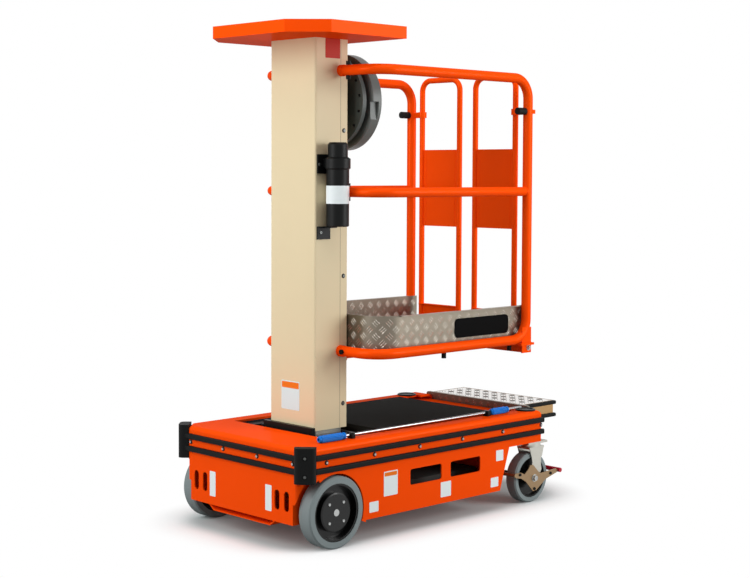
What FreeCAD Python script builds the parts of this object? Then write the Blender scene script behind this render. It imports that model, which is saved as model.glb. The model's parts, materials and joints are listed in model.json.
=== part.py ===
import FreeCAD, Part
import os
import re
import Sketcher

# Vertical mast lift: a wheeled steel chassis, a three-section mast and a one-person platform.
# Millimetres. X runs from the mast end (front, negative) to the boarding step (positive),
# Y is across the machine and Z is up. The origin is on the floor below the middle.

V = FreeCAD.Vector
doc = FreeCAD.newDocument("mast_lift")
sheet = doc.addObject("Spreadsheet::Sheet", "sizes")

# Driving dimensions: name, value in mm, what it is
SIZES = (
    ("front_x", -720, "front panel plane of the chassis"),
    ("sheet_wall", 5, "folded sheet of the chassis"),
    ("deck_plate", 8, "top plate of the deck"),
    ("half_width", 352, "centre line to the outside of the band"),
    ("band_low", 243, "underside of the deck band"),
    ("deck_top", 367, "top of the deck rim"),
    ("deck_length", 1256, "front panel to the rear of the band"),
    ("corner_cut", 48, "45 degree cut of the two front corners"),
    ("rim_radius", 16, "rolled edge round the deck"),
    ("opening_front", 197, "front panel to the deck opening"),
    ("deck_tail", 70, "end of the deck opening to the rear of the band"),
    ("opening_side", 75, "outside of the band to the deck opening"),
    ("notch_gap", 4, "step to the side of the notch below it"),
    ("notch_low", 328, "bottom of the notch below the step"),
    ("tub_low", 78.5, "underside of the side skirts"),
    ("front_low", 93, "lower edge of the front panel"),
    ("front_inset", 46, "outside of the band to the side of the front panel"),
    ("front_bend", 8, "outer bend radius of the front panel"),
    ("tub_start", 290, "front panel to the skirts behind the wheels"),
    ("tub_setback", 192, "rear of the skirt at its top to the rear of the band"),
    ("tub_rake", 53, "how far the skirt's rear end leans"),
    ("mast_floor_end", 420, "front panel to the end of the raised mast floor"),
    ("well_inset", 67, "outside of the band to the inside of the wheel well wall"),
    ("arch_radius", 148, "wheel arch"),
    ("window_low", 171, "lower edge of the side windows"),
    ("window_high", 230, "upper edge of the side windows"),
    ("window_back", 497, "first side window to the rear of the skirt at its bottom"),
    ("window_length", 166, "length of a side window"),
    ("window_pitch", 215, "window to window"),
    ("window_corner", 9, "corner radius of the windows"),
    ("slot_low", 136, "lower end of the front slots"),
    ("slot_high", 207, "upper end of the front slots"),
    ("slot_width", 26, "width of a front slot"),
    ("slot_inset", 101, "side of the front panel to the inner front slot"),
    ("slot_pitch", 51, "front slot to front slot"),
    ("pan_low", 72, "underside of the floor pan"),
    ("pan_top_half", 190, "half width of the floor pan at its top"),
    ("pan_low_half", 160, "half width of the floor pan at its bottom"),
    ("pan_plate", 4, "plate of the floor pan"),
    ("ballast_gap", 26, "ballast block to the rear of the skirts at their bottom"),
    ("ballast_side", 102, "outside of the band to the ballast block"),
    ("ballast_height", 78, "ballast block, height"),
    ("strip_depth", 13, "how far a bumper strip stands off the band"),
    ("strip_height", 20, "height of a bumper strip"),
    ("strip_upper_z", 330, "middle of the upper strip"),
    ("strip_lower_z", 284, "middle of the lower strip"),
    ("strip_overrun", 6, "how far the strips run past the rear of the band"),
    ("strip_round", 5, "rounded edge of a strip"),
    ("corner_width", 76, "corner bumper, along the cut corner"),
    ("corner_depth", 40, "corner bumper, outwards"),
    ("corner_low", 247, "underside of the corner bumpers"),
    ("corner_high", 371, "top of the corner bumpers"),
    ("corner_round", 18, "rounded edge of a corner bumper"),
    ("recess_radius", 8, "screw recess in a corner bumper"),
    ("recess_depth", 6, "screw recess, depth"),
    ("recess_top", 35, "top of a corner bumper to its upper recess"),
    ("recess_foot", 25, "underside of a corner bumper to its lower recess"),
    ("seat_gap", 0.3, "gap between pieces that rest on each other on a curve"),
    ("axle_x", 143, "front panel to the big wheels' axle"),
    ("wheel_radius", 128, "big wheel"),
    ("wheel_width", 60, "big wheel, across the tread"),
    ("wheel_stand", 8, "how far the big wheels stand out from the band"),
    ("tread_round", 5, "rounded shoulder of a tyre"),
    ("tyre_inner", 103, "inner radius of the big wheels' tyre"),
    ("hub_boss", 70, "raised centre of the big wheel"),
    ("hub_dish", 26, "depth of the dish in the wheel face"),
    ("hub_boss_back", 1, "wheel face to the boss face"),
    ("hub_web", 10, "thickness of the wheel disc"),
    ("hub_inset", 3, "face of the tyre to the rim face of the wheel"),
    ("hub_bevel", 5, "bevel round the boss"),
    ("hub_lip", 7, "rim of the wheel at its face"),
    ("hub_lip_foot", 10, "rim of the wheel at the dish"),
    ("stub_radius", 11, "stub axle"),
    ("stub_flange", 36, "flange of the stub axle"),
    ("stub_flange_depth", 6, "thickness of that flange"),
    ("stub_short", 6, "end of the stub axle to the outer face of the wheel"),
    ("run_gap", 0.05, "radial clearance of a turning fit"),
    ("mast_front", 246, "front panel to the front of the mast"),
    ("mast_depth", 162, "mast, along the machine"),
    ("mast_width", 250, "mast, across the machine"),
    ("mast_round", 8, "rounded vertical edges of the mast"),
    ("mast_wall", 5, "wall of a mast section"),
    ("mast_gap", 9, "room for the slide pads between two sections"),
    ("mast_low", 372, "lower end of the outer mast section"),
    ("mast_top", 1799, "upper end of the outer mast section"),
    ("mid_low", 300, "lower end of the middle section"),
    ("section_step", 8, "how much lower each inner section ends at the top"),
    ("pad_length", 90, "slide pad, along the mast"),
    ("pad_share_x", 60, "width of the pads on the front and rear faces"),
    ("pad_share_y", 90, "width of the pads on the side faces"),
    ("pad_slide", 0.3, "running gap between a pad and the wall it slides on"),
    ("pad_inset", 8, "end of a section to its nearest slide pads"),
    ("pad_rise", 300, "lower end of the middle section to the lower inner pads"),
    ("tray_front", 35, "front panel to the front of the tool tray"),
    ("tray_rear", 518.5, "front panel to the rear of the tool tray"),
    ("tray_half", 316, "half width of the tool tray"),
    ("tray_cut", 115, "45 degree cut of the tray's front corners"),
    ("tray_top", 1843, "rim of the tool tray"),
    ("tray_wall", 4, "wall and floor of the tool tray"),
    ("well_plate_end", 428, "front panel to the rear of that plate"),
    ("well_plate_low", 346, "underside of that plate"),
    ("well_plate_top", 352, "top of that plate"),
    ("well_lip", 8, "how far that plate reaches below the deck"),
    ("well_slot", 45, "length of the slots in that plate"),
    ("well_slot_half", 30, "half width of those slots"),
    ("bar_front", 221, "front panel to the black bar ahead of the mast"),
    ("bar_depth", 18, "black bar, along the machine"),
    ("bar_half", 135, "black bar, half length"),
    ("bar_top", 386, "top of the black bar"),
    ("mat_front", 440, "front panel to the deck cover"),
    ("mat_setback", 115, "rear of the deck cover to the end of the deck opening"),
    ("mat_gap", 10, "side of the deck opening to the deck cover"),
    ("mat_top", 372, "top of the deck cover"),
    ("mat_plate", 6, "thickness of the deck cover"),
    ("mat_skirt", 346, "lower edge of the deck cover"),
    ("mat_curl", 14, "curled front edge of the deck cover"),
    ("mat_curl_drop", 10, "how far that edge drops"),
    ("mat_curl_foot", 4, "curled edge, bend at its foot"),
    ("cap_near_back", 40, "near cap to the rear of the band"),
    ("cap_far_back", 104, "far cap to the rear of the band"),
    ("cap_inset", 49, "outside of the band to the middle of the caps"),
    ("cap_radius", 40, "caps over the castors"),
    ("cap_height", 6, "caps over the castors, height"),
    ("cap_rim", 9, "width of the raised rim of a cap"),
    ("cap_bevel", 3, "bevel of that rim"),
    ("riser_plate", 12, "thickness of the riser behind the band"),
    ("step_depth", 182, "step, along the machine"),
    ("step_side", 107, "outside of the band to the side of the step"),
    ("riser_side", 66, "outside of the band to the end of the riser"),
    ("riser_round", 12, "rounded top corners of the riser"),
    ("step_top", 376, "top of the step"),
    ("step_low", 328, "underside of the step"),
    ("step_plate", 4, "tread plate of the step"),
    ("fascia_low", 309, "lower edge of the step's fascia"),
    ("step_strip_depth", 9, "how far the step's strips stand off"),
    ("step_strip_height", 16, "height of the step's strips"),
    ("rod_inset", 56, "outside of the band to the stowed bar"),
    ("rod_z", 380, "stowed bar, height"),
    ("rod_radius", 5.5, "stowed bar"),
    ("rod_front", 120, "front panel to the end of the stowed bar"),
    ("rod_back", 61, "rear end of the stowed bar to the rear of the band"),
    ("grip_radius", 11, "hand grips on the stowed bar"),
    ("grip_flange", 12.5, "flange of the front grip"),
    ("grip_over", 7, "how far the front grip runs past the end of the bar"),
    ("grip_lip", 8, "flange of a grip, along the bar"),
    ("grip_bevel", 2, "bevelled end of a grip"),
    ("grip_front_length", 122, "front hand grip"),
    ("grip_rear_back", 244, "rear hand grip to the rear of the band"),
    ("grip_rear_length", 100, "rear hand grip"),
    ("clip_length", 14, "clips that hold the stowed bar"),
    ("clip_half", 14, "half width of a clip"),
    ("clip_over", 3, "top of the bar to the top of a clip"),
    ("clip_front_x", 262, "front panel to the front clip"),
    ("clip_rear_back", 271, "rear clip to the rear of the band"),
    ("castor_back", 16, "castor swivel axis to the rear of the band"),
    ("castor_inset", 40, "outside of the band to the castor swivel axis"),
    ("castor_trail", 23, "swivel axis to the castor axle"),
    ("castor_radius", 100, "castor wheel"),
    ("castor_width", 50, "castor wheel, across the tread"),
    ("castor_tyre_inner", 80, "inner radius of the castor tyre"),
    ("castor_hub", 28, "boss of the castor wheel"),
    ("castor_web", 9, "disc of the castor wheel"),
    ("castor_hub_over", 2, "how far the boss stands out of the tyre"),
    ("castor_rim_inset", 4, "tyre face to the rim of the castor wheel"),
    ("castor_lip", 5, "rim of the castor wheel at its face"),
    ("castor_lip_foot", 8, "rim of the castor wheel at its disc"),
    ("castor_axle_over", 6, "how far the axle stands out of the rockers"),
    ("castor_pin", 8, "castor axle bolt"),
    ("castor_plate_length", 116, "castor top plate, along the machine"),
    ("castor_plate_width", 78, "castor top plate, across"),
    ("castor_plate", 8, "castor top plate, thickness"),
    ("swivel_ring", 40, "swivel ring of the castor"),
    ("swivel_height", 12, "fixed half of the swivel ring"),
    ("swivel_gap", 0.5, "running gap of the swivel"),
    ("fork_crown", 8, "crown plate of the castor fork"),
    ("fork_inside", 29, "castor centre to the inside of a fork leg"),
    ("fork_leg", 4, "plate of a fork leg"),
    ("fork_half_top", 44, "half length of the fork at its crown"),
    ("brake_plate", 4, "brake rocker plate"),
    ("brake_gap", 4, "fork leg to the brake rocker"),
    ("brake_front", 137, "swivel axis to the brake shoe bar"),
    ("brake_shoe_z", 124, "height of the brake shoe bar"),
    ("brake_bar", 7, "radius of the brake shoe bar"),
    ("pedal_reach", 132.3, "swivel axis to the pedal bar"),
    ("pedal_z", 112, "height of the pedal bar"),
    ("pedal_radius", 9, "pedal bar"),
    ("pedal_half", 48, "half length of the pedal bar"),
    ("rail_radius", 19, "guard rail tube"),
    ("mid_rail_radius", 18, "middle guard rail tube"),
    ("rail_y", 322, "centre line to the guard rail"),
    ("post_x", 1192, "front panel to the rear posts"),
    ("rail_front", 371, "front panel to the part of the rails across the machine"),
    ("rail_end", 146, "centre line to the ends of the rails"),
    ("rail_bend", 90, "bend of the rails at the mast"),
    ("post_bend", 80, "bend of the rails into the posts"),
    ("rail_top", 1685, "centre of the top rail"),
    ("rail_mid", 1242, "centre of the middle rail"),
    ("rail_low", 657, "centre of the bottom rail"),
    ("bracket_radius", 21, "round foot of a rail on the mast"),
    ("bolt_offset", 19, "end of a rail to its bolt"),
    ("bolt_cap", 9, "black caps of the rail bolts"),
    ("bolt_cap_height", 14, "height of those caps"),
    ("toe_front", 412, "front panel to the front of the toe board"),
    ("toe_rear", 1204, "front panel to the rear of the toe board"),
    ("toe_tail", 36, "how far the toe board runs past the platform floor"),
    ("toe_half", 300, "half width of the toe board"),
    ("toe_corner", 110, "front corner radius of the toe board"),
    ("toe_plate", 3, "toe board plate"),
    ("toe_top", 790, "top of the toe board"),
    ("toe_hem", 15, "outward hem along the top of the toe board"),
    ("toe_hem_front", 505, "front panel to the start of the hem"),
    ("floor_low", 641, "underside of the platform floor"),
    ("floor_plate", 5, "platform floor plate"),
    ("arm_y", 60, "centre line to the platform arms"),
    ("arm_width", 40, "width of a platform arm"),
    ("arm_low", 618, "underside of the platform arms"),
    ("mast_plate", 6, "plate that ties the arms to the mast"),
    ("mast_plate_side", 8, "side of the mast to that plate"),
    ("cross_front", 1170, "front panel to the rear cross member"),
    ("cross_depth", 34, "rear cross member, along the machine"),
    ("cross_low", 604, "underside of the rear cross member"),
    ("cross_top", 634, "top of the rear cross member"),
    ("cross_half", 322, "half length of the rear cross member"),
    ("cross_wall", 4, "wall of the rear cross member"),
    ("gusset_plate", 5, "corner plate of the guard rail"),
    ("tab_front", 50, "post to the front of the tab below it"),
    ("tab_rear", 26, "post to the rear of that tab"),
    ("tab_half", 22, "half width of that tab"),
    ("gusset_front", 40, "post to the front of its corner plate"),
    ("gusset_rise", 48, "bottom rail to the top of the corner plate"),
    ("gusset_seat", 8, "how deep the corner plate is set into the tube"),
    ("hinge_arm", 5, "half width of the arm of the upper gate hinge"),
    ("face_bolt", 10, "end of the bottom rail to its bolt"),
    ("foot_radius", 9, "rubber feet below the platform"),
    ("foot_height", 28, "rubber feet below the platform, height"),
    ("foot_x", 753, "front panel to the side feet"),
    ("foot_rear_x", 1129, "front panel to the rear feet"),
    ("foot_y", 290, "centre line to the feet"),
    ("gate_hinge_y", 258, "centre line to the gate hinge"),
    ("gate_inner_y", 44, "centre line to the free side of a gate"),
    ("gate_tube", 11.5, "gate tube"),
    ("gate_top", 1699, "centre of the gate's top tube"),
    ("gate_bend", 45, "corner bend of the gate tube"),
    ("gate_low", 656, "lower end of the gate's hinge tube"),
    ("gate_sheet", 3, "gate sheet"),
    ("panel_low", 1091, "lower edge of the gate panel"),
    ("panel_high", 1410, "upper edge of the gate panel"),
    ("kick_low", 656, "lower edge of the gate's kick plate"),
    ("kick_high", 762, "upper edge of the gate's kick plate"),
    ("kick_flange", 18, "top flange of the kick plate"),
    ("hinge_z", 1557, "height of the upper gate hinge"),
    ("hinge_height", 24, "upper gate hinge, height"),
    ("hinge_wall", 6, "ring of the upper gate hinge"),
    ("pivot_radius", 5, "lower gate pivot"),
    ("pivot_top", 676, "top of the lower gate pivot"),
    ("knob_radius", 14, "rubber gate stop"),
    ("knob_length", 44, "rubber gate stop, length"),
    ("knob_tab", 17, "tab on the rear of the post behind the stop"),
    ("knob_tab_half", 8, "half width of that tab"),
    ("winder_drop", 222, "mast top to the winding wheel's axis"),
    ("winder_plate", 165, "radius of the winder's fixed plate"),
    ("winder_plate_depth", 22, "winder's fixed plate, thickness"),
    ("winder_stand", 36, "mast to the winder's fixed plate"),
    ("winder_boss", 70, "boss that carries the fixed plate"),
    ("winder_radius", 180, "winding wheel"),
    ("winder_rim", 14, "winding wheel's rim, radial"),
    ("winder_rim_depth", 46, "winding wheel's rim, along the axis"),
    ("winder_gap", 14, "fixed plate to the winding wheel"),
    ("winder_bevel", 4, "bevel of the fixed plate and the wheel"),
    ("rim_notch", 13, "depth of the notch in the wheel's rim"),
    ("notch_bar", 14, "what the notch leaves of the rim's depth"),
    ("winder_web", 6, "winding wheel's disc"),
    ("winder_hub", 34, "winding wheel's hub"),
    ("winder_shaft", 14, "winding wheel's shaft"),
    ("crank_offset", 118, "axis to the winding handle"),
    ("crank_radius", 13, "winding handle"),
    ("crank_length", 60, "winding handle, length"),
    ("notch_reach", 69, "winder axis down to the lower end of the notch in the rim"),
    ("notch_start", 2, "winder axis down to the upper end of that notch"),
    ("tube_gap", 3.5, "document tube to the middle rail"),
    ("tube_y", -178, "document tube, across"),
    ("tube_radius", 41.5, "document tube"),
    ("tube_low", 1118, "lower end of the document tube"),
    ("collar_low", 1324, "lower end of its collar"),
    ("collar_high", 1369, "upper end of its collar"),
    ("collar_radius", 46.5, "collar of the document tube"),
    ("cap_top", 1422, "top of the document tube's cap"),
    ("cap_neck", 36.5, "radius of the document tube's cap"),
    ("tube_bracket", 5, "plate of the tube brackets"),
    ("bracket_half", 27, "half width of the tube brackets"),
)

# Places that follow from the sizes above
DERIVED = {
    "opening_rear": "deck_length - deck_tail",
    "opening_half": "half_width - opening_side",
    "front_half": "half_width - front_inset",
    "well_half": "half_width - well_inset",
    "slot_inner": "front_half - slot_inset",
    "tub_end_top": "deck_length - tub_setback",
    "tub_end_low": "tub_end_top - tub_rake",
    "window_front": "tub_end_low - window_back",
    "ballast_half": "half_width - ballast_side",
    "strip_length": "deck_length + strip_overrun",
    "wheel_outer": "half_width + wheel_stand",
    "mat_rear": "opening_rear - mat_setback",
    "mat_half": "opening_half - mat_gap",
    "cap_y": "half_width - cap_inset",
    "step_front": "deck_length + riser_plate",
    "step_rear": "step_front + step_depth",
    "step_half": "half_width - step_side",
    "riser_half": "half_width - riser_side",
    "notch_half": "step_half + sheet_wall + notch_gap",
    "rod_y": "rod_inset - half_width",
    "rod_length": "deck_length - rod_back - rod_front",
    "grip_rear_x": "deck_length - grip_rear_back",
    "clip_rear_x": "deck_length - clip_rear_back",
    "castor_x": "deck_length - castor_back",
    "castor_y": "half_width - castor_inset",
    "floor_rear": "toe_rear - toe_tail",
    "winder_z": "mast_top - winder_drop",
}
NAMES = set()
for row, (alias, number, note) in enumerate(SIZES, start=1):
    sheet.set("A%d" % row, alias)
    sheet.set("B%d" % row, str(number))
    sheet.set("C%d" % row, note)
    sheet.setAlias("B%d" % row, alias)
    NAMES.add(alias)
doc.recompute()


def link(text):
    """Turn size names and derived places in a formula into references to the sheet."""
    def reference(word):
        name = word.group(0)
        if name in DERIVED:
            return "(" + link(DERIVED[name]) + ")"
        return "sizes." + name if name in NAMES else name

    return re.sub(r"[a-z_]+", reference, str(text))


def size(text):
    """Work a formula of sizes out as a number."""
    return float(sheet.evalExpression(link(text)))


def bind(thing, prop, text):
    thing.setExpression(prop, link(text))


def place(thing, x="0", y="0", z="0", turn=None):
    """Give an object its place, and a turn as (axis, degrees)."""
    if turn:
        thing.Placement = FreeCAD.Placement(V(0, 0, 0), FreeCAD.Rotation(turn[0], turn[1]))
    for prop, text in (("x", x), ("y", y), ("z", z)):
        bind(thing, "Placement.Base." + prop, text)
    return thing


# Part primitives and booleans, each bound to the sheet

def named(kind, label):
    thing = doc.addObject(kind, label)
    thing.Label = label
    return thing


def box(label, x, y, z):
    """A block from low to high formulas along each axis."""
    block = named("Part::Box", label)
    for prop, (low, high) in (("Length", x), ("Width", y), ("Height", z)):
        bind(block, prop, "(%s) - (%s)" % (high, low))
    return place(block, x[0], y[0], z[0])


TURNS = {"x": (V(0, 1, 0), 90), "y": (V(1, 0, 0), -90), "z": None}


def rod(label, axis, centre, radius, length):
    """A cylinder along an axis; centre is its first end, and it runs towards plus."""
    bar = named("Part::Cylinder", label)
    bind(bar, "Radius", radius)
    bind(bar, "Height", length)
    return place(bar, *centre, turn=TURNS[axis])


def fuse(label, pieces):
    whole = named("Part::MultiFuse", label)
    whole.Shapes = pieces
    return whole


def group(label, pieces):
    """Like pieces of one kind that don't touch, kept together."""
    whole = named("Part::Compound", label)
    whole.Links = pieces
    return whole


def cut(label, base, tools):
    whole = named("Part::Cut", label)
    whole.Base = base
    whole.Tool = tools[0] if len(tools) == 1 else fuse(label + "_cutters", tools)
    return whole


# PartDesign bodies, sketches and features

def new_body(label):
    body = doc.addObject("PartDesign::Body", label)
    body.Label = label
    return body


def origin_plane(body, role):
    return next(plane for plane in body.Origin.OriginFeatures if plane.Role == role)


def sketch(body, name, plane, offset, outlines):
    """Closed outlines of straight lines; every corner is held by two formulas."""
    drawing = body.newObject("Sketcher::SketchObject", name)
    drawing.AttachmentSupport = (origin_plane(body, plane + "_Plane"), "")
    drawing.MapMode = "FlatFace"
    bind(drawing, "AttachmentOffset.Base.z", offset)
    first = 0
    for corners in outlines:
        points = [V(size(a), size(b), 0) for a, b in corners]
        count = len(points)
        for i in range(count):
            drawing.addGeometry(Part.LineSegment(points[i], points[(i + 1) % count]))
        for i in range(count):
            link_end = Sketcher.Constraint("Coincident", first + i, 2, first + (i + 1) % count, 1)
            drawing.addConstraint(link_end)
        for i, (a, b) in enumerate(corners):
            for kind, text, number in (("DistanceX", a, points[i].x), ("DistanceY", b, points[i].y)):
                held = drawing.addConstraint(Sketcher.Constraint(kind, -1, 1, first + i, 1, number))
                bind(drawing, "Constraints[%d]" % held, text)
        first += count
    return drawing


def span(plane, low, high):
    """Sketch offset and length for a pad from low to high along the plane's world axis."""
    length = "(%s) - (%s)" % (high, low)
    return ("-(%s)" % high if plane == "XZ" else low), length


def pad(body, name, plane, low, high, *outlines):
    offset, length = span(plane, low, high)
    feature = body.newObject("PartDesign::Pad", name)
    feature.Profile = sketch(body, name + "_sketch", plane, offset, outlines)
    bind(feature, "Length", length)
    doc.recompute()
    return feature


def pocket(body, name, plane, low, high, *outlines):
    before = body.Shape.Volume
    offset, length = span(plane, low, high)
    feature = body.newObject("PartDesign::Pocket", name)
    feature.Profile = sketch(body, name + "_sketch", plane, offset, outlines)
    feature.Reversed = True
    bind(feature, "Length", length)
    doc.recompute()
    if body.Shape.Volume > before - 1:
        raise RuntimeError(name + " cuts nothing")
    return feature


def disc_sketch(body, name, plane, offset, circles):
    """Circles as (x, y, radius) formulas."""
    drawing = body.newObject("Sketcher::SketchObject", name)
    drawing.AttachmentSupport = (origin_plane(body, plane + "_Plane"), "")
    drawing.MapMode = "FlatFace"
    bind(drawing, "AttachmentOffset.Base.z", offset)
    for i, (a, b, radius) in enumerate(circles):
        drawing.addGeometry(Part.Circle(V(size(a), size(b), 0), V(0, 0, 1), size(radius)))
        for kind, text in (("DistanceX", a), ("DistanceY", b)):
            held = drawing.addConstraint(Sketcher.Constraint(kind, -1, 1, i, 3, size(text)))
            bind(drawing, "Constraints[%d]" % held, text)
        held = drawing.addConstraint(Sketcher.Constraint("Radius", i, size(radius)))
        bind(drawing, "Constraints[%d]" % held, radius)
    return drawing


def pad_discs(body, name, plane, low, high, circles):
    offset, length = span(plane, low, high)
    feature = body.newObject("PartDesign::Pad", name)
    feature.Profile = disc_sketch(body, name + "_sketch", plane, offset, circles)
    bind(feature, "Length", length)
    doc.recompute()
    return feature


def pocket_discs(body, name, plane, low, high, circles):
    before = body.Shape.Volume
    offset, length = span(plane, low, high)
    feature = body.newObject("PartDesign::Pocket", name)
    feature.Profile = disc_sketch(body, name + "_sketch", plane, offset, circles)
    feature.Reversed = True
    bind(feature, "Length", length)
    doc.recompute()
    if body.Shape.Volume > before - 1:
        raise RuntimeError(name + " cuts nothing")
    return feature


def revolve(body, name, plane, axis, outline):
    feature = body.newObject("PartDesign::Revolution", name)
    drawing = sketch(body, name + "_sketch", plane, "0", [outline])
    feature.Profile = drawing
    feature.ReferenceAxis = (drawing, [axis])
    feature.Angle = 360
    doc.recompute()
    return feature


def round_edges(body, name, radius, choose):
    """Fillet the edges of the body that the rule picks."""
    doc.recompute()
    picked = ["Edge%d" % (i + 1) for i, edge in enumerate(body.Shape.Edges) if choose(edge)]
    if not picked:
        raise RuntimeError(name + " finds no edge")
    feature = body.newObject("PartDesign::Fillet", name)
    feature.Base = (body.Tip if body.Tip != feature else feature.BaseFeature, picked)
    bind(feature, "Radius", radius)
    doc.recompute()
    return feature


def along(edge, axis):
    """Whether a straight edge runs along an axis."""
    if edge.Curve.TypeId != "Part::GeomLine":
        return False
    return abs(abs(edge.Curve.Direction.dot(axis)) - 1) < 1e-6


def rectangle(a, b):
    return [(a[0], b[0]), (a[1], b[0]), (a[1], b[1]), (a[0], b[1])]


def band_outline(offset, rear):
    """Plan of the chassis band, moved outwards by an offset, open ended at the rear."""
    slope = "(%s) * tan(22.5)" % offset
    front = "front_x - (%s)" % offset
    side = "half_width + (%s)" % offset
    near = "half_width - corner_cut + %s" % slope
    bend = "front_x + corner_cut - %s" % slope
    return [(front, "-(%s)" % near), (bend, "-(%s)" % side), (rear, "-(%s)" % side),
            (rear, side), (bend, side), (front, near)]


# Chassis: deck, tub and floor pan

def make_deck():
    deck = new_body("deck")
    rear = "front_x + deck_length"
    pad(deck, "deck_band", "XY", "band_low", "deck_top", band_outline("0", rear))
    top = size("deck_top")
    round_edges(deck, "deck_rim", "rim_radius",
                lambda e: abs(e.CenterOfMass.z - top) < 0.01)
    inner_rear = "front_x + deck_length - sheet_wall"
    pocket(deck, "deck_inside", "XY", "band_low + deck_plate", "deck_top - deck_plate",
           band_outline("-sheet_wall", inner_rear))
    pocket(deck, "deck_underside", "XY", "band_low", "band_low + deck_plate",
           band_outline("-sheet_wall", "front_x + tub_end_top - sheet_wall"))
    pocket(deck, "deck_opening", "XY", "deck_top - deck_plate", "deck_top + 1",
           rectangle(("front_x + opening_front", "front_x + opening_rear"),
                     ("-opening_half", "opening_half")))
    pocket(deck, "step_notch", "XY", "notch_low", "deck_top + 1",
           rectangle(("front_x + opening_rear - 1", "front_x + deck_length + 1"),
                     ("-notch_half", "notch_half")))
    pad(deck, "lower_deck", "XY", "mat_skirt - mat_plate", "mat_skirt",
        rectangle(("front_x + well_plate_end + sheet_wall", "front_x + deck_length - sheet_wall"),
                  ("-half_width + sheet_wall", "half_width - sheet_wall")))
    for side, low, high in (("near", "-half_width - 1", "-well_half"),
                            ("far", "well_half", "half_width + 1")):
        pocket_discs(deck, "deck_arch_" + side, "XZ", low, high,
                     [("front_x + axle_x", "wheel_radius", "arch_radius")])
    return deck


def make_tub():
    tub = new_body("tub")
    rise = "tub_end_top - tub_end_low"
    wall = "sheet_wall"
    pad(tub, "skirts", "XZ", "-half_width", "half_width", [
        ("front_x + tub_start", "tub_low"), ("front_x + tub_end_low", "tub_low"),
        ("front_x + tub_end_top", "band_low"), ("front_x + tub_start", "band_low")])
    pad(tub, "front_box", "XY", "front_low", "band_low",
        rectangle(("front_x", "front_x + tub_start + 1"), ("-front_half", "front_half")))
    front = size("front_x")
    round_edges(tub, "front_bends", "front_bend",
                lambda e: along(e, V(0, 0, 1)) and abs(e.CenterOfMass.x - front) < 0.01)
    slant = "(%s) * sheet_wall / (band_low - tub_low)" % rise
    pocket(tub, "rear_inside", "XZ", "-half_width + sheet_wall", "half_width - sheet_wall", [
        ("front_x + tub_start + sheet_wall", "front_low + sheet_wall"),
        ("front_x + mast_floor_end", "front_low + sheet_wall"),
        ("front_x + mast_floor_end", "tub_low + sheet_wall"),
        ("front_x + tub_end_low - sheet_wall + %s" % slant, "tub_low + sheet_wall"),
        ("front_x + tub_end_top - sheet_wall", "band_low"),
        ("front_x + tub_start + sheet_wall", "band_low")])
    pocket(tub, "front_inside", "XY", "front_low + sheet_wall", "band_low",
           rectangle(("front_x + sheet_wall", "front_x + tub_start + sheet_wall + 1"),
                     ("-well_half", "well_half")))
    for side, low, high in (("near", "-half_width - 1", "-well_half - sheet_wall"),
                            ("far", "well_half + sheet_wall", "half_width + 1")):
        pocket_discs(tub, "tub_arch_" + side, "XZ", low, high,
                     [("front_x + axle_x", "wheel_radius", "arch_radius")])
    windows = []
    for i in range(2):
        start = "front_x + window_front + %d * window_pitch" % i
        windows.append(rectangle((start, start + " + window_length"), ("window_low", "window_high")))
    pocket(tub, "side_windows", "XZ", "-half_width - 1", "half_width + 1", *windows)
    low, high = size("window_low"), size("window_high")
    start = size("front_x + window_front")
    end = size("front_x + window_front + window_pitch + window_length")
    round_edges(tub, "window_corners", "window_corner",
                lambda e: along(e, V(0, 1, 0)) and start - 0.1 < e.CenterOfMass.x < end + 0.1
                and min(abs(e.CenterOfMass.z - low), abs(e.CenterOfMass.z - high)) < 0.01)
    slots = []
    for side in (-1, 1):
        for i in range(2):
            middle = "%d * (slot_inner + %d * slot_pitch)" % (side, i)
            slots.append(rectangle((middle + " - slot_width / 2", middle + " + slot_width / 2"),
                                   ("slot_low", "slot_high")))
    pocket(tub, "front_slots", "YZ", "front_x - 1", "front_x + sheet_wall + 1", *slots)
    slot_low, slot_high = size("slot_low"), size("slot_high")
    round_edges(tub, "slot_ends", "slot_width / 2 - 0.1",
                lambda e: along(e, V(1, 0, 0)) and e.Length < 2 * size(wall)
                and min(abs(e.CenterOfMass.z - slot_low), abs(e.CenterOfMass.z - slot_high)) < 0.01)
    return tub


def make_floor_pan():
    pan = new_body("floor_pan")
    inner = "pan_plate * 1.6"
    pad(pan, "pan_channel", "YZ", "front_x + sheet_wall", "front_x + tub_start", [
        ("-pan_low_half", "pan_low"), ("pan_low_half", "pan_low"), ("pan_top_half", "front_low"),
        ("pan_top_half - %s" % inner, "front_low"), ("pan_low_half - pan_plate", "pan_low + pan_plate"),
        ("-pan_low_half + pan_plate", "pan_low + pan_plate"), ("-pan_top_half + %s" % inner, "front_low"),
        ("-pan_top_half", "front_low")])
    return pan


def make_ballast():
    start = "front_x + mast_floor_end + sheet_wall"
    return box("ballast", (start, "front_x + tub_end_low - ballast_gap"), ("-ballast_half", "ballast_half"),
               ("tub_low + sheet_wall", "tub_low + sheet_wall + ballast_height"))


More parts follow.
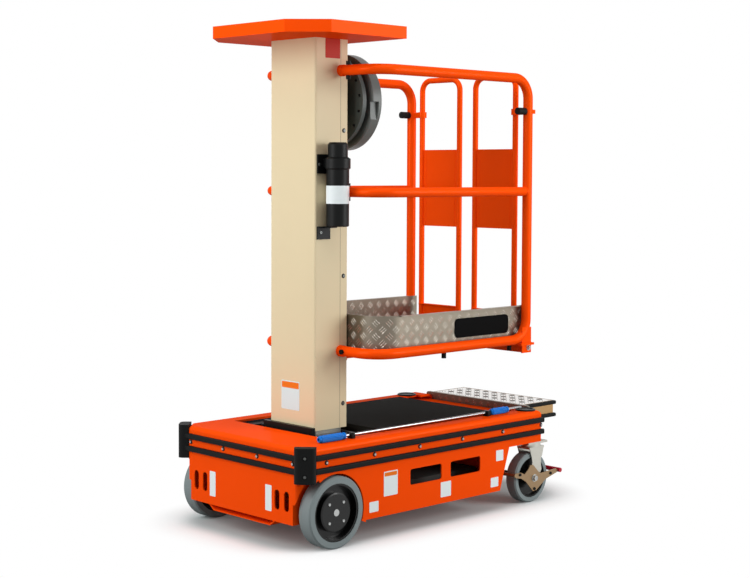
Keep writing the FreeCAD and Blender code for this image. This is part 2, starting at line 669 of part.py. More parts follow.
def make_strips():
    """Two D shaped rubber strips round the band, interrupted by the corner bumpers."""
    strips = []
    corner = []
    for side in (-1, 1):
        block = box("corner_room_%d" % (side + 1),
                    ("-corner_width / 2 - seat_gap", "corner_width / 2 + seat_gap"),
                    ("-corner_depth", "corner_depth * 2"), ("corner_low - 1", "corner_high + 1"))
        turned = named("Part::Compound", "corner_space_%d" % (side + 1))
        turned.Links = [block]
        place(turned, "front_x + corner_cut / 2", "%d * (half_width - corner_cut / 2)" % side, "0",
              (V(0, 0, 1), 90 - 45 * side))
        corner.append(turned)
    for name in ("upper", "lower"):
        body = new_body("strip_%s_body" % name)
        middle = "strip_%s_z" % name
        low, high = middle + " - strip_height / 2", middle + " + strip_height / 2"
        pad(body, name + "_strip", "XY", low, high, band_outline("strip_depth", "front_x + strip_length"))
        outer = size("half_width + strip_depth")
        front = size("front_x - strip_depth")
        near = size("corner_cut") * 0.75
        round_edges(body, name + "_strip_round", "strip_round",
                    lambda e: abs(e.Curve.Direction.z) < 0.01 and (
                        abs(abs(e.CenterOfMass.y) - outer) < 0.01 or abs(e.CenterOfMass.x - front) < 0.01
                        or (e.CenterOfMass.x < front + near and e.Length < size("corner_cut") * 2)))
        pocket(body, name + "_strip_inside", "XY", low + " - 1", high + " + 1",
               band_outline("0", "front_x + strip_length + 1"))
        strips.append(body)
    return cut("bumper_strips", group("strip_pair", strips), corner)


def make_corner_bumpers():
    """Half-round bumper on each cut front corner, with two screw recesses."""
    bumpers = []
    for side in (-1, 1):
        body = new_body("corner_bumper_body_%d" % (side + 1))
        pad(body, "corner_block_%d" % (side + 1), "XY", "corner_low", "corner_high",
            rectangle(("-corner_width / 2", "corner_width / 2"), ("0", "corner_depth")))
        depth = size("corner_depth")
        round_edges(body, "corner_round_%d" % (side + 1), "corner_round",
                    lambda e: along(e, V(0, 0, 1)) and abs(e.CenterOfMass.y - depth) < 0.01)
        pocket_discs(body, "corner_recess_%d" % (side + 1), "XZ", "corner_depth - recess_depth",
                     "corner_depth + 1", [("0", "corner_high - recess_top", "recess_radius"),
                                          ("0", "corner_low + recess_foot", "recess_radius")])
        place(body, "front_x + corner_cut / 2", "%d * (half_width - corner_cut / 2)" % side, "0",
              (V(0, 0, 1), 90 - 45 * side))
        bumpers.append(body)
    return group("corner_bumpers", bumpers)


# Deck fittings

def make_well_plate():
    """Dark slotted plate in the deck opening round the foot of the mast."""
    plate = new_body("well_plate")
    front = "front_x + opening_front"
    rear = "front_x + well_plate_end"
    pad(plate, "plate_block", "XY", "well_plate_low", "deck_top - deck_plate",
        rectangle((front + " - well_lip", rear), ("-opening_half - well_lip", "opening_half + well_lip")))
    pocket(plate, "plate_tray", "XY", "well_plate_top", "deck_top",
           rectangle((front, rear + " + 1"), ("-opening_half", "opening_half")))
    pocket(plate, "mast_hole", "XY", "well_plate_low - 1", "well_plate_top + 1",
           rectangle(("front_x + mast_front - mast_wall", "front_x + mast_front + mast_depth + mast_wall"),
                     ("-mast_width / 2 - mast_wall", "mast_width / 2 + mast_wall")))
    slots = []
    for side in (-1, 1):
        for i in range(2):
            start = "front_x + mast_front + %d * well_slot * 1.6" % i
            middle = "%d * (mast_width / 4 + opening_half / 2)" % side
            slots.append(rectangle((start, start + " + well_slot"),
                                   (middle + " - well_slot_half", middle + " + well_slot_half")))
    pocket(plate, "plate_slots", "XY", "well_plate_low - 1", "well_plate_top + 1", *slots)
    return plate


def make_mast_bar():
    return box("mast_bar", ("front_x + bar_front", "front_x + bar_front + bar_depth"),
               ("-bar_half", "bar_half"),
               ("well_plate_top", "bar_top"))


def make_deck_mat():
    """Black cover behind the mast: a flat top with a curled front edge and side lips."""
    mat = new_body("deck_mat")
    pad(mat, "mat_shell", "XZ", "-mat_half", "mat_half", [
        ("front_x + mat_front", "mat_skirt + mat_plate"),
        ("front_x + mat_front + mat_curl_foot", "mat_skirt"),
        ("front_x + mat_rear", "mat_skirt"), ("front_x + mat_rear", "mat_top"),
        ("front_x + mat_front + mat_curl", "mat_top"), ("front_x + mat_front", "mat_top - mat_curl_drop")])
    pocket(mat, "mat_inside", "XY", "mat_skirt - 1", "mat_top - mat_plate",
           rectangle(("front_x + mat_front + mat_plate + mat_curl_drop", "front_x + mat_rear - mat_plate"),
                     ("-mat_half + mat_plate", "mat_half - mat_plate")))
    return mat


def make_deck_caps():
    caps = []
    for name, side in (("near", -1), ("far", 1)):
        body = new_body("deck_cap_body_" + name)
        revolve(body, "deck_cap_" + name, "XZ", "V_Axis", [
            ("0", "0"), ("cap_radius", "0"), ("cap_radius", "cap_height / 2"),
            ("cap_radius - cap_bevel", "cap_height"), ("cap_radius - cap_rim", "cap_height"),
            ("cap_radius - cap_rim - 1", "cap_height / 2"), ("0", "cap_height / 2")])
        place(body, "front_x + deck_length - cap_%s_back" % name, "%d * cap_y" % side, "deck_top")
        caps.append(body)
    return group("deck_caps", caps)


def make_step():
    """Tread plate step behind the deck, open below, with a wider riser that has rounded ends."""
    step = new_body("step")
    pad(step, "riser", "XY", "fascia_low", "step_top",
        rectangle(("front_x + deck_length", "front_x + step_front"), ("-riser_half", "riser_half")))
    top = size("step_top")
    round_edges(step, "riser_corners", "riser_round",
                lambda e: along(e, V(1, 0, 0)) and abs(e.CenterOfMass.z - top) < 0.01)
    pad(step, "step_box", "XY", "step_low", "step_top",
        rectangle(("front_x + step_front - 1", "front_x + step_rear"), ("-step_half", "step_half")))
    pocket(step, "step_inside", "XY", "step_low - 1", "step_top - step_plate",
           rectangle(("front_x + step_front", "front_x + step_rear - step_plate"),
                     ("-step_half + step_plate", "step_half - step_plate")))
    return step


def make_step_fascia():
    """Bronze band round the sides and rear of the step."""
    fascia = new_body("step_fascia")
    start = "front_x + step_front"
    pad(fascia, "fascia_band", "XY", "fascia_low", "step_top",
        rectangle((start, "front_x + step_rear + sheet_wall"),
                  ("-step_half - sheet_wall", "step_half + sheet_wall")))
    pocket(fascia, "fascia_inside", "XY", "fascia_low - 1", "step_top + 1",
           rectangle((start + " - 1", "front_x + step_rear"), ("-step_half", "step_half")))
    return fascia


def make_step_strips():
    strips = []
    inner = "step_half + sheet_wall"
    rear = "front_x + step_rear + sheet_wall"
    start = "front_x + step_front"
    for name, high in (("top", "step_top"), ("low", "fascia_low + step_strip_height")):
        low = high + " - step_strip_height"
        body = new_body("step_strip_body_" + name)
        pad(body, "step_strip_" + name, "XY", low, high,
            rectangle((start, rear + " + step_strip_depth"),
                      ("-(%s) - step_strip_depth" % inner, "%s + step_strip_depth" % inner)))
        reach = size(rear + " + step_strip_depth") - 1
        round_edges(body, "step_strip_round_" + name, "strip_round",
                    lambda e: not along(e, V(0, 0, 1)) and (
                        e.CenterOfMass.x > reach or abs(e.CenterOfMass.y) > size(inner) + 1))
        pocket(body, "step_strip_inside_" + name, "XY", low + " - 1", high + " + 1",
               rectangle((start + " - 1", rear), ("-(%s)" % inner, inner)))
        strips.append(body)
    return group("step_strips", strips)


def make_stowed_bar():
    return rod("stowed_bar", "x", ("front_x + rod_front", "rod_y", "rod_z"), "rod_radius", "rod_length")


def make_bar_grips():
    """Two blue hand grips on the stowed bar, bored for it."""
    grips = []
    for name, start, length, flange in (
            ("front", "front_x + rod_front - grip_over", "grip_front_length", "grip_flange"),
            ("rear", "front_x + grip_rear_x", "grip_rear_length", "grip_radius + 1")):
        body = new_body("grip_body_" + name)
        bore = "rod_radius + run_gap"
        lip = length + " - grip_lip"
        revolve(body, "grip_" + name, "XY", "H_Axis", [
            ("0", bore), (length, bore), (length, flange), (lip, flange), (lip, "grip_radius"),
            ("grip_bevel", "grip_radius"), ("0", "grip_radius - grip_bevel")])
        place(body, start, "rod_y", "rod_z")
        grips.append(body)
    return group("bar_grips", grips)


def make_bar_clips():
    """Two black clips on the deck rim; each cradles the stowed bar."""
    clips = []
    for name in ("front", "rear"):
        start = "front_x + clip_%s_x" % name
        block = box("clip_block_" + name, (start, start + " + clip_length"),
                    ("rod_y - clip_half", "rod_y + clip_half"),
                    ("deck_top", "rod_z + rod_radius + clip_over"))
        hole = rod("clip_bore_" + name, "x", (start + " - 1", "rod_y", "rod_z"), "rod_radius + run_gap",
                   "clip_length + 2")
        clips.append(cut("clip_" + name, block, [hole]))
    return group("bar_clips", clips)


# Wheels

def wheel_body(label, outer, inner, width, round_off):
    """A tyre: a ring about Y with rounded shoulders, its middle at the origin."""
    tyre = new_body(label)
    half = "%s / 2" % width
    revolve(tyre, label + "_ring", "XY", "V_Axis", [
        (inner, "-" + half), (outer + " - " + round_off, "-" + half),
        (outer, "-%s + %s" % (half, round_off)),
        (outer, "%s - %s" % (half, round_off)), (outer + " - " + round_off, half), (inner, half)])
    return tyre


def make_big_wheels():
    """Grey tyre on a dished black wheel; the outer face looks towards minus Y before it is turned."""
    pieces = []
    for name, side in (("near", -1), ("far", 1)):
        turn = None if side < 0 else (V(0, 0, 1), 180)
        spot = ("front_x + axle_x", "%d * (wheel_outer - wheel_width / 2)" % side, "wheel_radius")
        tyre = wheel_body("tyre_" + name, "wheel_radius", "tyre_inner", "wheel_width", "tread_round")
        hub = new_body("hub_" + name)
        face = "-wheel_width / 2 + hub_inset"
        bore = "stub_radius + run_gap"
        revolve(hub, "hub_disc_" + name, "XY", "V_Axis", [
            (bore, face + " + hub_boss_back"), ("hub_boss - hub_bevel", face + " + hub_boss_back"),
            ("hub_boss", face + " + hub_boss_back + hub_inset"), ("hub_boss", face + " + hub_dish"),
            ("tyre_inner - hub_lip_foot", face + " + hub_dish"), ("tyre_inner - hub_lip", face),
            ("tyre_inner", face),
            ("tyre_inner", "-(%s)" % face), ("tyre_inner - hub_lip", "-(%s)" % face),
            ("tyre_inner - hub_lip_foot", face + " + hub_dish + hub_web"),
            ("hub_boss", face + " + hub_dish + hub_web"),
            (bore, face + " + hub_dish + hub_web")])
        for piece in (tyre, hub):
            place(piece, *spot, turn=turn)
            pieces.append(piece)
    return pieces


def make_stub_axles():
    """Stub axles bolted to the wheel well walls; each carries a big wheel."""
    stubs = []
    for name, side in (("near", -1), ("far", 1)):
        body = new_body("stub_body_" + name)
        wall = "well_half + sheet_wall"
        revolve(body, "stub_" + name, "XY", "V_Axis", [
            ("0", "0"), ("stub_flange", "0"), ("stub_flange", "-stub_flange_depth"),
            ("stub_radius", "-stub_flange_depth"),
            ("stub_radius", "-(wheel_outer - stub_short - (%s))" % wall),
            ("0", "-(wheel_outer - stub_short - (%s))" % wall)])
        place(body, "front_x + axle_x", "%d * (%s)" % (side, wall), "wheel_radius",
              None if side < 0 else (V(0, 0, 1), 180))
        stubs.append(body)
    return group("stub_axles", stubs)


# Castors: the local origin is the swivel axis on the floor, and the axle trails forwards

def make_castor_mounts():
    mounts = []
    for name, side in (("near", -1), ("far", 1)):
        body = new_body("castor_mount_body_" + name)
        pad(body, "castor_plate_" + name, "XY", "band_low - castor_plate", "band_low",
            rectangle(("-castor_plate_length / 2", "castor_plate_length / 2"),
                      ("-castor_plate_width / 2", "castor_plate_width / 2")))
        pad_discs(body, "castor_ring_" + name, "XY", "band_low - castor_plate - swivel_height",
                  "band_low - castor_plate", [("0", "0", "swivel_ring")])
        pad_discs(body, "castor_kingpin_" + name, "XY",
                  "band_low - castor_plate - swivel_height - swivel_gap - fork_crown + 1",
                  "band_low - castor_plate - swivel_height", [("0", "0", "castor_pin")])
        place(body, "front_x + castor_x", "%d * castor_y" % side, "0")
        mounts.append(body)
    return group("castor_mounts", mounts)


FORK_LEG = (  # along from the swivel axis, height: the leg's outline between crown and axle
    (44, 205), (34, 186), (26, 172), (26, 150), (30, 128), (8, 90), (-30, 84), (-45, 96), (-44, 125),
    (-26, 158),
    (-30, 180), (-44, 205))
BRAKE_ROCKER = (  # along from the axle, height above the axle: the rocker plate's outline
    (-120, 22), (-116, 32), (-82, 32), (-60, 22), (-36, 40), (-26, 54), (-8, 54), (34, 14), (64, 16),
    (136, 20),
    (146, 12), (140, 4), (70, -14), (14, -50), (-8, -52), (-52, -8), (-80, 8), (-112, 14))


def make_castors():
    """Fork, brake rocker, pedal, tyre and hub of each castor."""
    pieces = []
    crown_top = "band_low - castor_plate - swivel_height - swivel_gap"
    for name, side in (("near", -1), ("far", 1)):
        fork = new_body("castor_fork_" + name)
        outer = "fork_inside + fork_leg"
        pad(fork, "fork_crown_" + name, "XY", crown_top + " - fork_crown", crown_top,
            rectangle(("-fork_half_top", "fork_half_top"), ("-(%s)" % outer, outer)))
        leg = [(str(a), str(b)) for a, b in FORK_LEG]
        leg[0] = ("fork_half_top", crown_top)
        leg[-1] = ("-fork_half_top", crown_top)
        for face, low, high in (("out", "-(%s)" % outer, "-fork_inside"), ("in", "fork_inside", outer)):
            pad(fork, "fork_leg_%s_%s" % (face, name), "XZ", low, high, leg)
        pocket_discs(fork, "fork_bore_" + name, "XY", crown_top + " - fork_crown - 1", crown_top + " + 1",
                     [("0", "0", "castor_pin + run_gap")])
        pad_discs(fork, "fork_axle_" + name, "XZ",
                  "-(%s) - brake_gap - brake_plate - castor_axle_over" % outer,
                  "%s + brake_gap + brake_plate + castor_axle_over" % outer,
                  [("-castor_trail", "castor_radius", "castor_pin")])
        brake = new_body("castor_brake_" + name)
        rocker = [("%d - castor_trail" % a, "%d + castor_radius" % b) for a, b in BRAKE_ROCKER]
        reach = "%s + brake_gap" % outer
        far = reach + " + brake_plate"
        pad(brake, "brake_out_" + name, "XZ", "-(%s)" % far, "-(%s)" % reach, rocker)
        pad_discs(brake, "brake_shoe_" + name, "XZ", "-(%s)" % far, far,
                  [("-brake_front", "brake_shoe_z", "brake_bar")])
        pad(brake, "brake_in_" + name, "XZ", reach, far, rocker)
        pocket_discs(brake, "brake_bore_" + name, "XZ", "-(%s) - 1" % far, far + " + 1",
                     [("-castor_trail", "castor_radius", "castor_pin + run_gap")])
        pedal = new_body("castor_pedal_" + name)
        pad_discs(pedal, "pedal_bar_" + name, "XZ", "-pedal_half", "pedal_half",
                  [("pedal_reach", "pedal_z", "pedal_radius")])
        tyre = wheel_body("castor_tyre_" + name, "castor_radius", "castor_tyre_inner", "castor_width",
                          "tread_round")
        hub = new_body("castor_hub_" + name)
        boss = "(castor_width / 2 + castor_hub_over)"
        rim = "(castor_width / 2 - castor_rim_inset)"
        bore = "castor_pin + run_gap"
        revolve(hub, "castor_disc_" + name, "XY", "V_Axis", [
            (bore, "-" + boss), ("castor_hub", "-" + boss), ("castor_hub", "-castor_web / 2"),
            ("castor_tyre_inner - castor_lip_foot", "-castor_web / 2"),
            ("castor_tyre_inner - castor_lip", "-" + rim),
            ("castor_tyre_inner", "-" + rim), ("castor_tyre_inner", rim),
            ("castor_tyre_inner - castor_lip", rim),
            ("castor_tyre_inner - castor_lip_foot", "castor_web / 2"), ("castor_hub", "castor_web / 2"),
            ("castor_hub", boss), (bore, boss)])
        for piece in (fork, brake, pedal):
            place(piece, "front_x + castor_x", "%d * castor_y" % side, "0")
            pieces.append(piece)
        for piece in (tyre, hub):
            place(piece, "front_x + castor_x - castor_trail", "%d * castor_y" % side, "castor_radius")
            pieces.append(piece)
    return pieces


# Mast

def mast_section(label, inset, low, top):
    """A rectangular tube with rounded corners; inset is taken off each side of the outer section."""
    section = new_body(label)
    front = "front_x + mast_front + %s" % inset
    rear = "front_x + mast_front + mast_depth - (%s)" % inset
    side = "mast_width / 2 - (%s)" % inset
    pad(section, label + "_tube", "XY", low, top, rectangle((front, rear), ("-(%s)" % side, side)))
    round_edges(section, label + "_corners", "mast_round", lambda e: along(e, V(0, 0, 1)))
    pocket(section, label + "_inside", "XY", low + " - 1", top + " + 1",
           rectangle((front + " + mast_wall", rear + " - mast_wall"),
                     ("-(%s) + mast_wall" % side, side + " - mast_wall")))
    return section


def slide_pads(label, inset, heights):
    """Pads on the outside of a mast section, a running gap short of the next section's wall."""
    pads = []
    front = "front_x + mast_front + %s" % inset
    rear = "front_x + mast_front + mast_depth - (%s)" % inset
    side = "mast_width / 2 - (%s)" % inset
    middle = "front_x + mast_front + mast_depth / 2"
    reach = "mast_gap - pad_slide"
    for i, height in enumerate(heights):
        z = (height, height + " + pad_length")
        name = "%s_%d" % (label, i)
        pads.append(box(name + "_front", ("%s - (%s)" % (front, reach), front),
                        ("-pad_share_y / 2", "pad_share_y / 2"), z))
        pads.append(box(name + "_rear", (rear, "%s + %s" % (rear, reach)),
                        ("-pad_share_y / 2", "pad_share_y / 2"), z))
        pads.append(box(name + "_near", (middle + " - pad_share_x / 2", middle + " + pad_share_x / 2"),
                        ("-(%s) - (%s)" % (side, reach), "-(%s)" % side), z))
        pads.append(box(name + "_far", (middle + " - pad_share_x / 2", middle + " + pad_share_x / 2"),
                        (side, "%s + %s" % (side, reach)), z))
    return group(label, pads)


def make_mast():
    mid_inset = "(mast_wall + mast_gap)"
    base_inset = "2 * (mast_wall + mast_gap)"
    mid_top = "mast_top - section_step"
    base_top = "mast_top - 2 * section_step"
    return [
        mast_section("outer_mast", "0", "mast_low", "mast_top"),
        mast_section("mid_mast", mid_inset, "mid_low", mid_top),
        mast_section("base_mast", base_inset, "front_low + sheet_wall", base_top),
        slide_pads("mid_pads", mid_inset, ["mast_low + pad_inset", mid_top + " - pad_length - pad_inset"]),
        slide_pads("base_pads", base_inset, ["mid_low + pad_rise", base_top + " - pad_length - pad_inset"]),
    ]


def make_tool_tray():
    """Open tray on top of the mast, with two cut front corners."""
    tray = new_body("tool_tray")

    def outline(inset):
        slope = "%s * tan(22.5)" % inset
        front = "front_x + tray_front + %s" % inset
        rear = "front_x + tray_rear - %s" % inset
        side = "tray_half - %s" % inset
        near = "tray_half - tray_cut - %s" % slope
        bend = "front_x + tray_front + tray_cut + %s" % slope
        return [(front, "-(%s)" % near), (bend, "-(%s)" % side), (rear, "-(%s)" % side), (rear, side),
                (bend, side), (front, near)]

    pad(tray, "tray_block", "XY", "mast_top", "tray_top", outline("0"))
    pocket(tray, "tray_inside", "XY", "mast_top + tray_wall", "tray_top + 1", outline("tray_wall"))
    return tray


# Platform

def tube_run(label, radius, corners, bends):
    """A bent tube: corners are points, and each inner corner is turned on an arc of its bend radius."""
    points = [V(*[size(a) for a in corner]) for corner in corners]
    edges = []
    start = points[0]
    for i in range(1, len(points) - 1):
        here = points[i]
        back = (points[i - 1] - here).normalize()
        ahead = (points[i + 1] - here).normalize()
        radius_here = size(bends[i - 1])
        first = here + back * radius_here
        last = here + ahead * radius_here
        centre = first + ahead * radius_here
        middle = centre + (here - centre).normalize() * radius_here
        edges.append(Part.LineSegment(start, first).toShape())
        edges.append(Part.Arc(first, middle, last).toShape())
        start = last
    edges.append(Part.LineSegment(start, points[-1]).toShape())
    path = named("Part::Feature", label + "_path")
    path.Shape = Part.Wire(edges)
    ring = named("Part::Circle", label + "_ring")
    bind(ring, "Radius", radius)
    ring.Placement = FreeCAD.Placement(points[0], FreeCAD.Rotation(V(0, 0, 1), points[1] - points[0]))
    tube = named("Part::Sweep", label)
    tube.Sections = [ring]
    tube.Spine = (path, [])
    tube.Solid = True
    tube.Frenet = False
    return tube


def make_guard_rails():
    """One bent tube a side makes top rail, post and bottom rail; the middle rail joins the post."""
    rails = []
    post = "front_x + post_x"
    for name, side in (("near", -1), ("far", 1)):
        end = "%d * rail_end" % side
        wide = "%d * rail_y" % side
        cross = "front_x + rail_front"
        frame = tube_run("frame_tube_" + name, "rail_radius", [
            (cross, end, "rail_top"), (cross, wide, "rail_top"), (post, wide, "rail_top"),
            (post, wide, "rail_low"), (cross, wide, "rail_low"), (cross, end, "rail_low")],
            ["rail_bend", "post_bend", "post_bend", "rail_bend"])
        middle = tube_run("middle_tube_" + name, "mid_rail_radius", [
            (cross, end, "rail_mid"), (cross, wide, "rail_mid"), (post, wide, "rail_mid")], ["rail_bend"])
        low_y, high_y = sorted(("%d * (rail_y - tab_half)" % side, "%d * (rail_y + tab_half)" % side),
                               key=size)
        tab = box("rail_tab_" + name, (post + " - tab_front", post + " + tab_rear"), (low_y, high_y),
                  ("cross_top", "rail_low - rail_radius + gusset_plate"))
        ring_y = "%d * gate_hinge_y" % side
        low_z, height = "hinge_z - hinge_height / 2", "hinge_height"
        ring = rod("hinge_ring_" + name, "z", (post, ring_y, low_z), "gate_tube + hinge_wall", height)
        arm_y = sorted(("%d * gate_hinge_y" % side, wide), key=size)
        arm = box("hinge_arm_" + name, (post + " - hinge_arm", post + " + hinge_arm"), arm_y,
                  (low_z, low_z + " + hinge_height"))
        hole = rod("hinge_hole_" + name, "z", (post, ring_y, low_z + " - 1"), "gate_tube + seat_gap",
                   height + " + 2")
        gusset = box("gusset_" + name, (post + " - gusset_front", post + " + rail_radius - gusset_plate"),
                     sorted(("%d * (rail_y + rail_radius - gusset_seat)" % side,
                             "%d * (rail_y + rail_radius - gusset_seat + gusset_plate)" % side), key=size),
                     ("cross_low", "rail_low + gusset_rise"))
        stop_tab = box("stop_tab_" + name, (post + " + rail_radius - 2",
                                            post + " + rail_radius + knob_tab"),
                       (wide + " - knob_tab_half", wide + " + knob_tab_half"),
                       ("hinge_z - knob_tab_half", "hinge_z + knob_tab_half"))
        feet = []
        for z in ("rail_top", "rail_mid", "rail_low"):
            start, finish = sorted(("%d * mast_width / 2" % side, "%d * rail_end" % side), key=size)
            feet.append(rod("rail_foot_%s_%s" % (name, z), "y", (cross, start, z), "bracket_radius",
                            "(%s) - (%s)" % (finish, start)))
        body = fuse("rail_whole_" + name, [frame, middle, tab, ring, arm, gusset, stop_tab] + feet)
        rails.append(cut("guard_rail_" + name, body, [hole]))
    return rails


def make_rail_bolts():
    """Black capped bolts through the rail ends: upright on the upper rails, level on the bottom one."""
    caps = []
    for name, side in (("near", -1), ("far", 1)):
        y = "%d * (rail_end + bolt_offset)" % side
        x = "front_x + rail_front"
        for z, radius in (("rail_top", "rail_radius"), ("rail_mid", "mid_rail_radius")):
            caps.append(rod("bolt_top_%s_%s" % (name, z), "z", (x, y, "%s + %s + seat_gap" % (z, radius)),
                            "bolt_cap", "bolt_cap_height"))
            caps.append(rod("bolt_low_%s_%s" % (name, z), "z",
                            (x, y, "%s - %s - seat_gap - bolt_cap_height" % (z, radius)), "bolt_cap",
                            "bolt_cap_height"))
        caps.append(rod("bolt_face_" + name, "x", (x + " - rail_radius - seat_gap - bolt_cap_height / 2",
                                                    "%d * (rail_end + face_bolt)" % side, "rail_low"),
                        "bolt_cap", "bolt_cap_height / 2"))
    return group("rail_bolts", caps)


def rounded_plan(label, inset, low, high, rear):
    """A block over the platform's plan, with its two front corners rounded."""
    block = new_body(label)
    front = "front_x + toe_front + %s" % inset
    pad(block, label + "_pad", "XY", low, high,
        rectangle((front, rear), ("-toe_half + %s" % inset, "toe_half - %s" % inset)))
    edge = size(front)
    round_edges(block, label + "_corners", "toe_corner - %s" % inset,
                lambda e: along(e, V(0, 0, 1)) and abs(e.CenterOfMass.x - edge) < 0.01)
    return block


def make_toe_board():
    """Tread plate wall round three sides of the floor, with an outward hem along each side."""
    low = "floor_low"
    rear = "front_x + toe_rear"
    outer = rounded_plan("toe_outer", "0", low, "toe_top", rear)
    inner = rounded_plan("toe_inner", "toe_plate", low + " - 1", "toe_top + 1", rear + " + 1")
    parts = [cut("toe_wall", outer, [inner])]
    for name, side in (("near", -1), ("far", 1)):
        across = sorted(("%d * toe_half" % side, "%d * (toe_half + toe_hem)" % side), key=size)
        parts.append(box("toe_hem_" + name, ("front_x + toe_hem_front", "front_x + floor_rear"), across,
                         ("toe_top - toe_plate", "toe_top")))
    return fuse("toe_board", parts)


def make_platform_floor():
    return rounded_plan("platform_floor", "(toe_plate + seat_gap)", "floor_low", "floor_low + floor_plate",
                        "front_x + floor_rear")


def make_floor_frame():
    """Two arms from the mast to the rear cross member, which carries the lower gate pivots."""
    plate_front = "front_x + mast_front + mast_depth"
    back = box("mast_plate", (plate_front, plate_front + " + mast_plate"),
               ("-mast_width / 2 + mast_plate_side", "mast_width / 2 - mast_plate_side"),
               ("arm_low", "floor_low"))
    parts = [back]
    for name, side in (("near", -1), ("far", 1)):
        middle = "%d * arm_y" % side
        parts.append(box("arm_" + name, (plate_front + " + mast_plate", "front_x + cross_front + 1"),
                         (middle + " - arm_width / 2", middle + " + arm_width / 2"),
                         ("arm_low", "floor_low")))
        parts.append(rod("gate_pivot_" + name, "z",
                         ("front_x + post_x", "%d * gate_hinge_y" % side, "cross_top - 1"),
                         "pivot_radius", "pivot_top - cross_top + 1"))
    cross = box("cross_block", ("front_x + cross_front", "front_x + cross_front + cross_depth"),
                ("-cross_half", "cross_half"), ("cross_low", "cross_top"))
    hollow = box("cross_hollow", ("front_x + cross_front + cross_wall",
                                  "front_x + cross_front + cross_depth + 1"),
                 ("-cross_half + cross_wall", "cross_half - cross_wall"),
                 ("cross_low + cross_wall", "cross_top - cross_wall"))
    parts.append(cut("cross_member", cross, [hollow]))
    return fuse("floor_frame", parts)


def make_platform_feet():
    """Rubber feet that the platform rests on when it is lowered to the deck."""
    feet = []
    for name, side in (("near", -1), ("far", 1)):
        for where, x in (("side", "foot_x"), ("rear", "foot_rear_x")):
            feet.append(rod("%s_foot_%s" % (where, name), "z",
                            ("front_x + " + x, "%d * foot_y" % side, "floor_low - foot_height"),
                            "foot_radius", "foot_height"))
    return group("platform_feet", feet)


def make_gates():
    """Self-closing gate: a hooped tube with a sheet panel and a flanged kick plate."""
    gates = []
    x = "front_x + post_x"
    thin = (x + " - gate_sheet / 2", x + " + gate_sheet / 2")
    for name, side in (("near", -1), ("far", 1)):
        hinge = "%d * gate_hinge_y" % side
        inner = "%d * gate_inner_y" % side
        hoop = tube_run("gate_tube_" + name, "gate_tube", [
            (x, hinge, "gate_low"), (x, hinge, "gate_top"), (x, inner, "gate_top"), (x, inner, "kick_low")],
            ["gate_bend", "gate_bend"])
        across = sorted((hinge, inner), key=size)
        panel = box("gate_panel_" + name, thin, across, ("panel_low", "panel_high"))
        kick = box("gate_kick_" + name, thin, across, ("kick_low", "kick_high"))
        flange = box("gate_flange_" + name, (x + " - kick_flange", x + " + gate_sheet / 2"), across,
                     ("kick_high - gate_sheet", "kick_high"))
        bore = rod("gate_bore_" + name, "z", (x, hinge, "gate_low - 1"), "pivot_radius + run_gap",
                   "pivot_top - gate_low + 3")
        gates.append(cut("gate_" + name, fuse("gate_whole_" + name, [hoop, panel, kick, flange]), [bore]))
    return gates


def make_gate_stops():
    """Black rubber stops on the posts, level with the upper hinges."""
    stops = []
    for name, side in (("near", -1), ("far", 1)):
        stops.append(rod("gate_stop_" + name, "x",
                         ("front_x + post_x - rail_radius - seat_gap - knob_length", "%d * rail_y" % side,
                          "hinge_z"),
                         "knob_radius", "knob_length"))
    return group("gate_stops", stops)


def make_winder():
    """Fixed round plate behind the mast and the winding wheel that turns on its shaft."""
    start = "front_x + mast_front + mast_depth"
    plate = new_body("winder_plate_disc")
    face = "winder_stand + winder_plate_depth"
    wheel_face = face + " + winder_gap"
    shaft_end = wheel_face + " + winder_rim_depth - winder_bevel"
    revolve(plate, "winder_fixed", "XY", "H_Axis", [
        ("0", "0"), (shaft_end, "0"), (shaft_end, "winder_shaft"), (face, "winder_shaft"),
        (face, "winder_plate - winder_bevel"), (face + " - winder_bevel", "winder_plate"),
        ("winder_stand", "winder_plate"), ("winder_stand", "winder_boss"), ("0", "winder_boss")])
    plate.Label = "winder_housing"
    wheel = new_body("winding_wheel")
    bore = "winder_shaft + run_gap"
    back = wheel_face + " + winder_rim_depth"
    revolve(wheel, "winder_turning", "XY", "H_Axis", [
        (wheel_face, bore), (wheel_face, "winder_radius - winder_bevel"),
        (wheel_face + " + winder_bevel", "winder_radius"),
        (back, "winder_radius"), (back, "winder_radius - winder_rim"),
        (wheel_face + " + winder_web", "winder_radius - winder_rim"),
        (wheel_face + " + winder_web", "winder_hub"),
        (back, "winder_hub"), (back, bore)])
    pad_discs(wheel, "winder_handle", "YZ", wheel_face + " + 1", back + " + crank_length",
              [("0", "crank_offset", "crank_radius")])
    pocket(wheel, "rim_notch", "YZ", wheel_face + " - 1", back + " - notch_bar",
           rectangle(("-winder_radius - 1", "-winder_radius + rim_notch"),
                     ("-notch_reach", "-notch_start")))
    for piece in (plate, wheel):
        place(piece, start, "0", "winder_z")
    return [plate, wheel]


TUBE_X = "front_x + rail_front - mid_rail_radius - tube_gap - tube_radius"


def make_document_tube():
    tube = new_body("document_tube")
    revolve(tube, "document_can", "XZ", "V_Axis", [
        ("0", "tube_low"), ("tube_radius - 3", "tube_low"), ("tube_radius", "tube_low + 3"),
        ("tube_radius", "collar_low"), ("collar_radius", "collar_low + 4"),
        ("collar_radius", "collar_high - 6"),
        ("cap_neck", "collar_high"), ("cap_neck", "cap_top - 8"), ("cap_neck - 6", "cap_top"),
        ("0", "cap_top")])
    place(tube, TUBE_X, "tube_y", "0")
    return tube


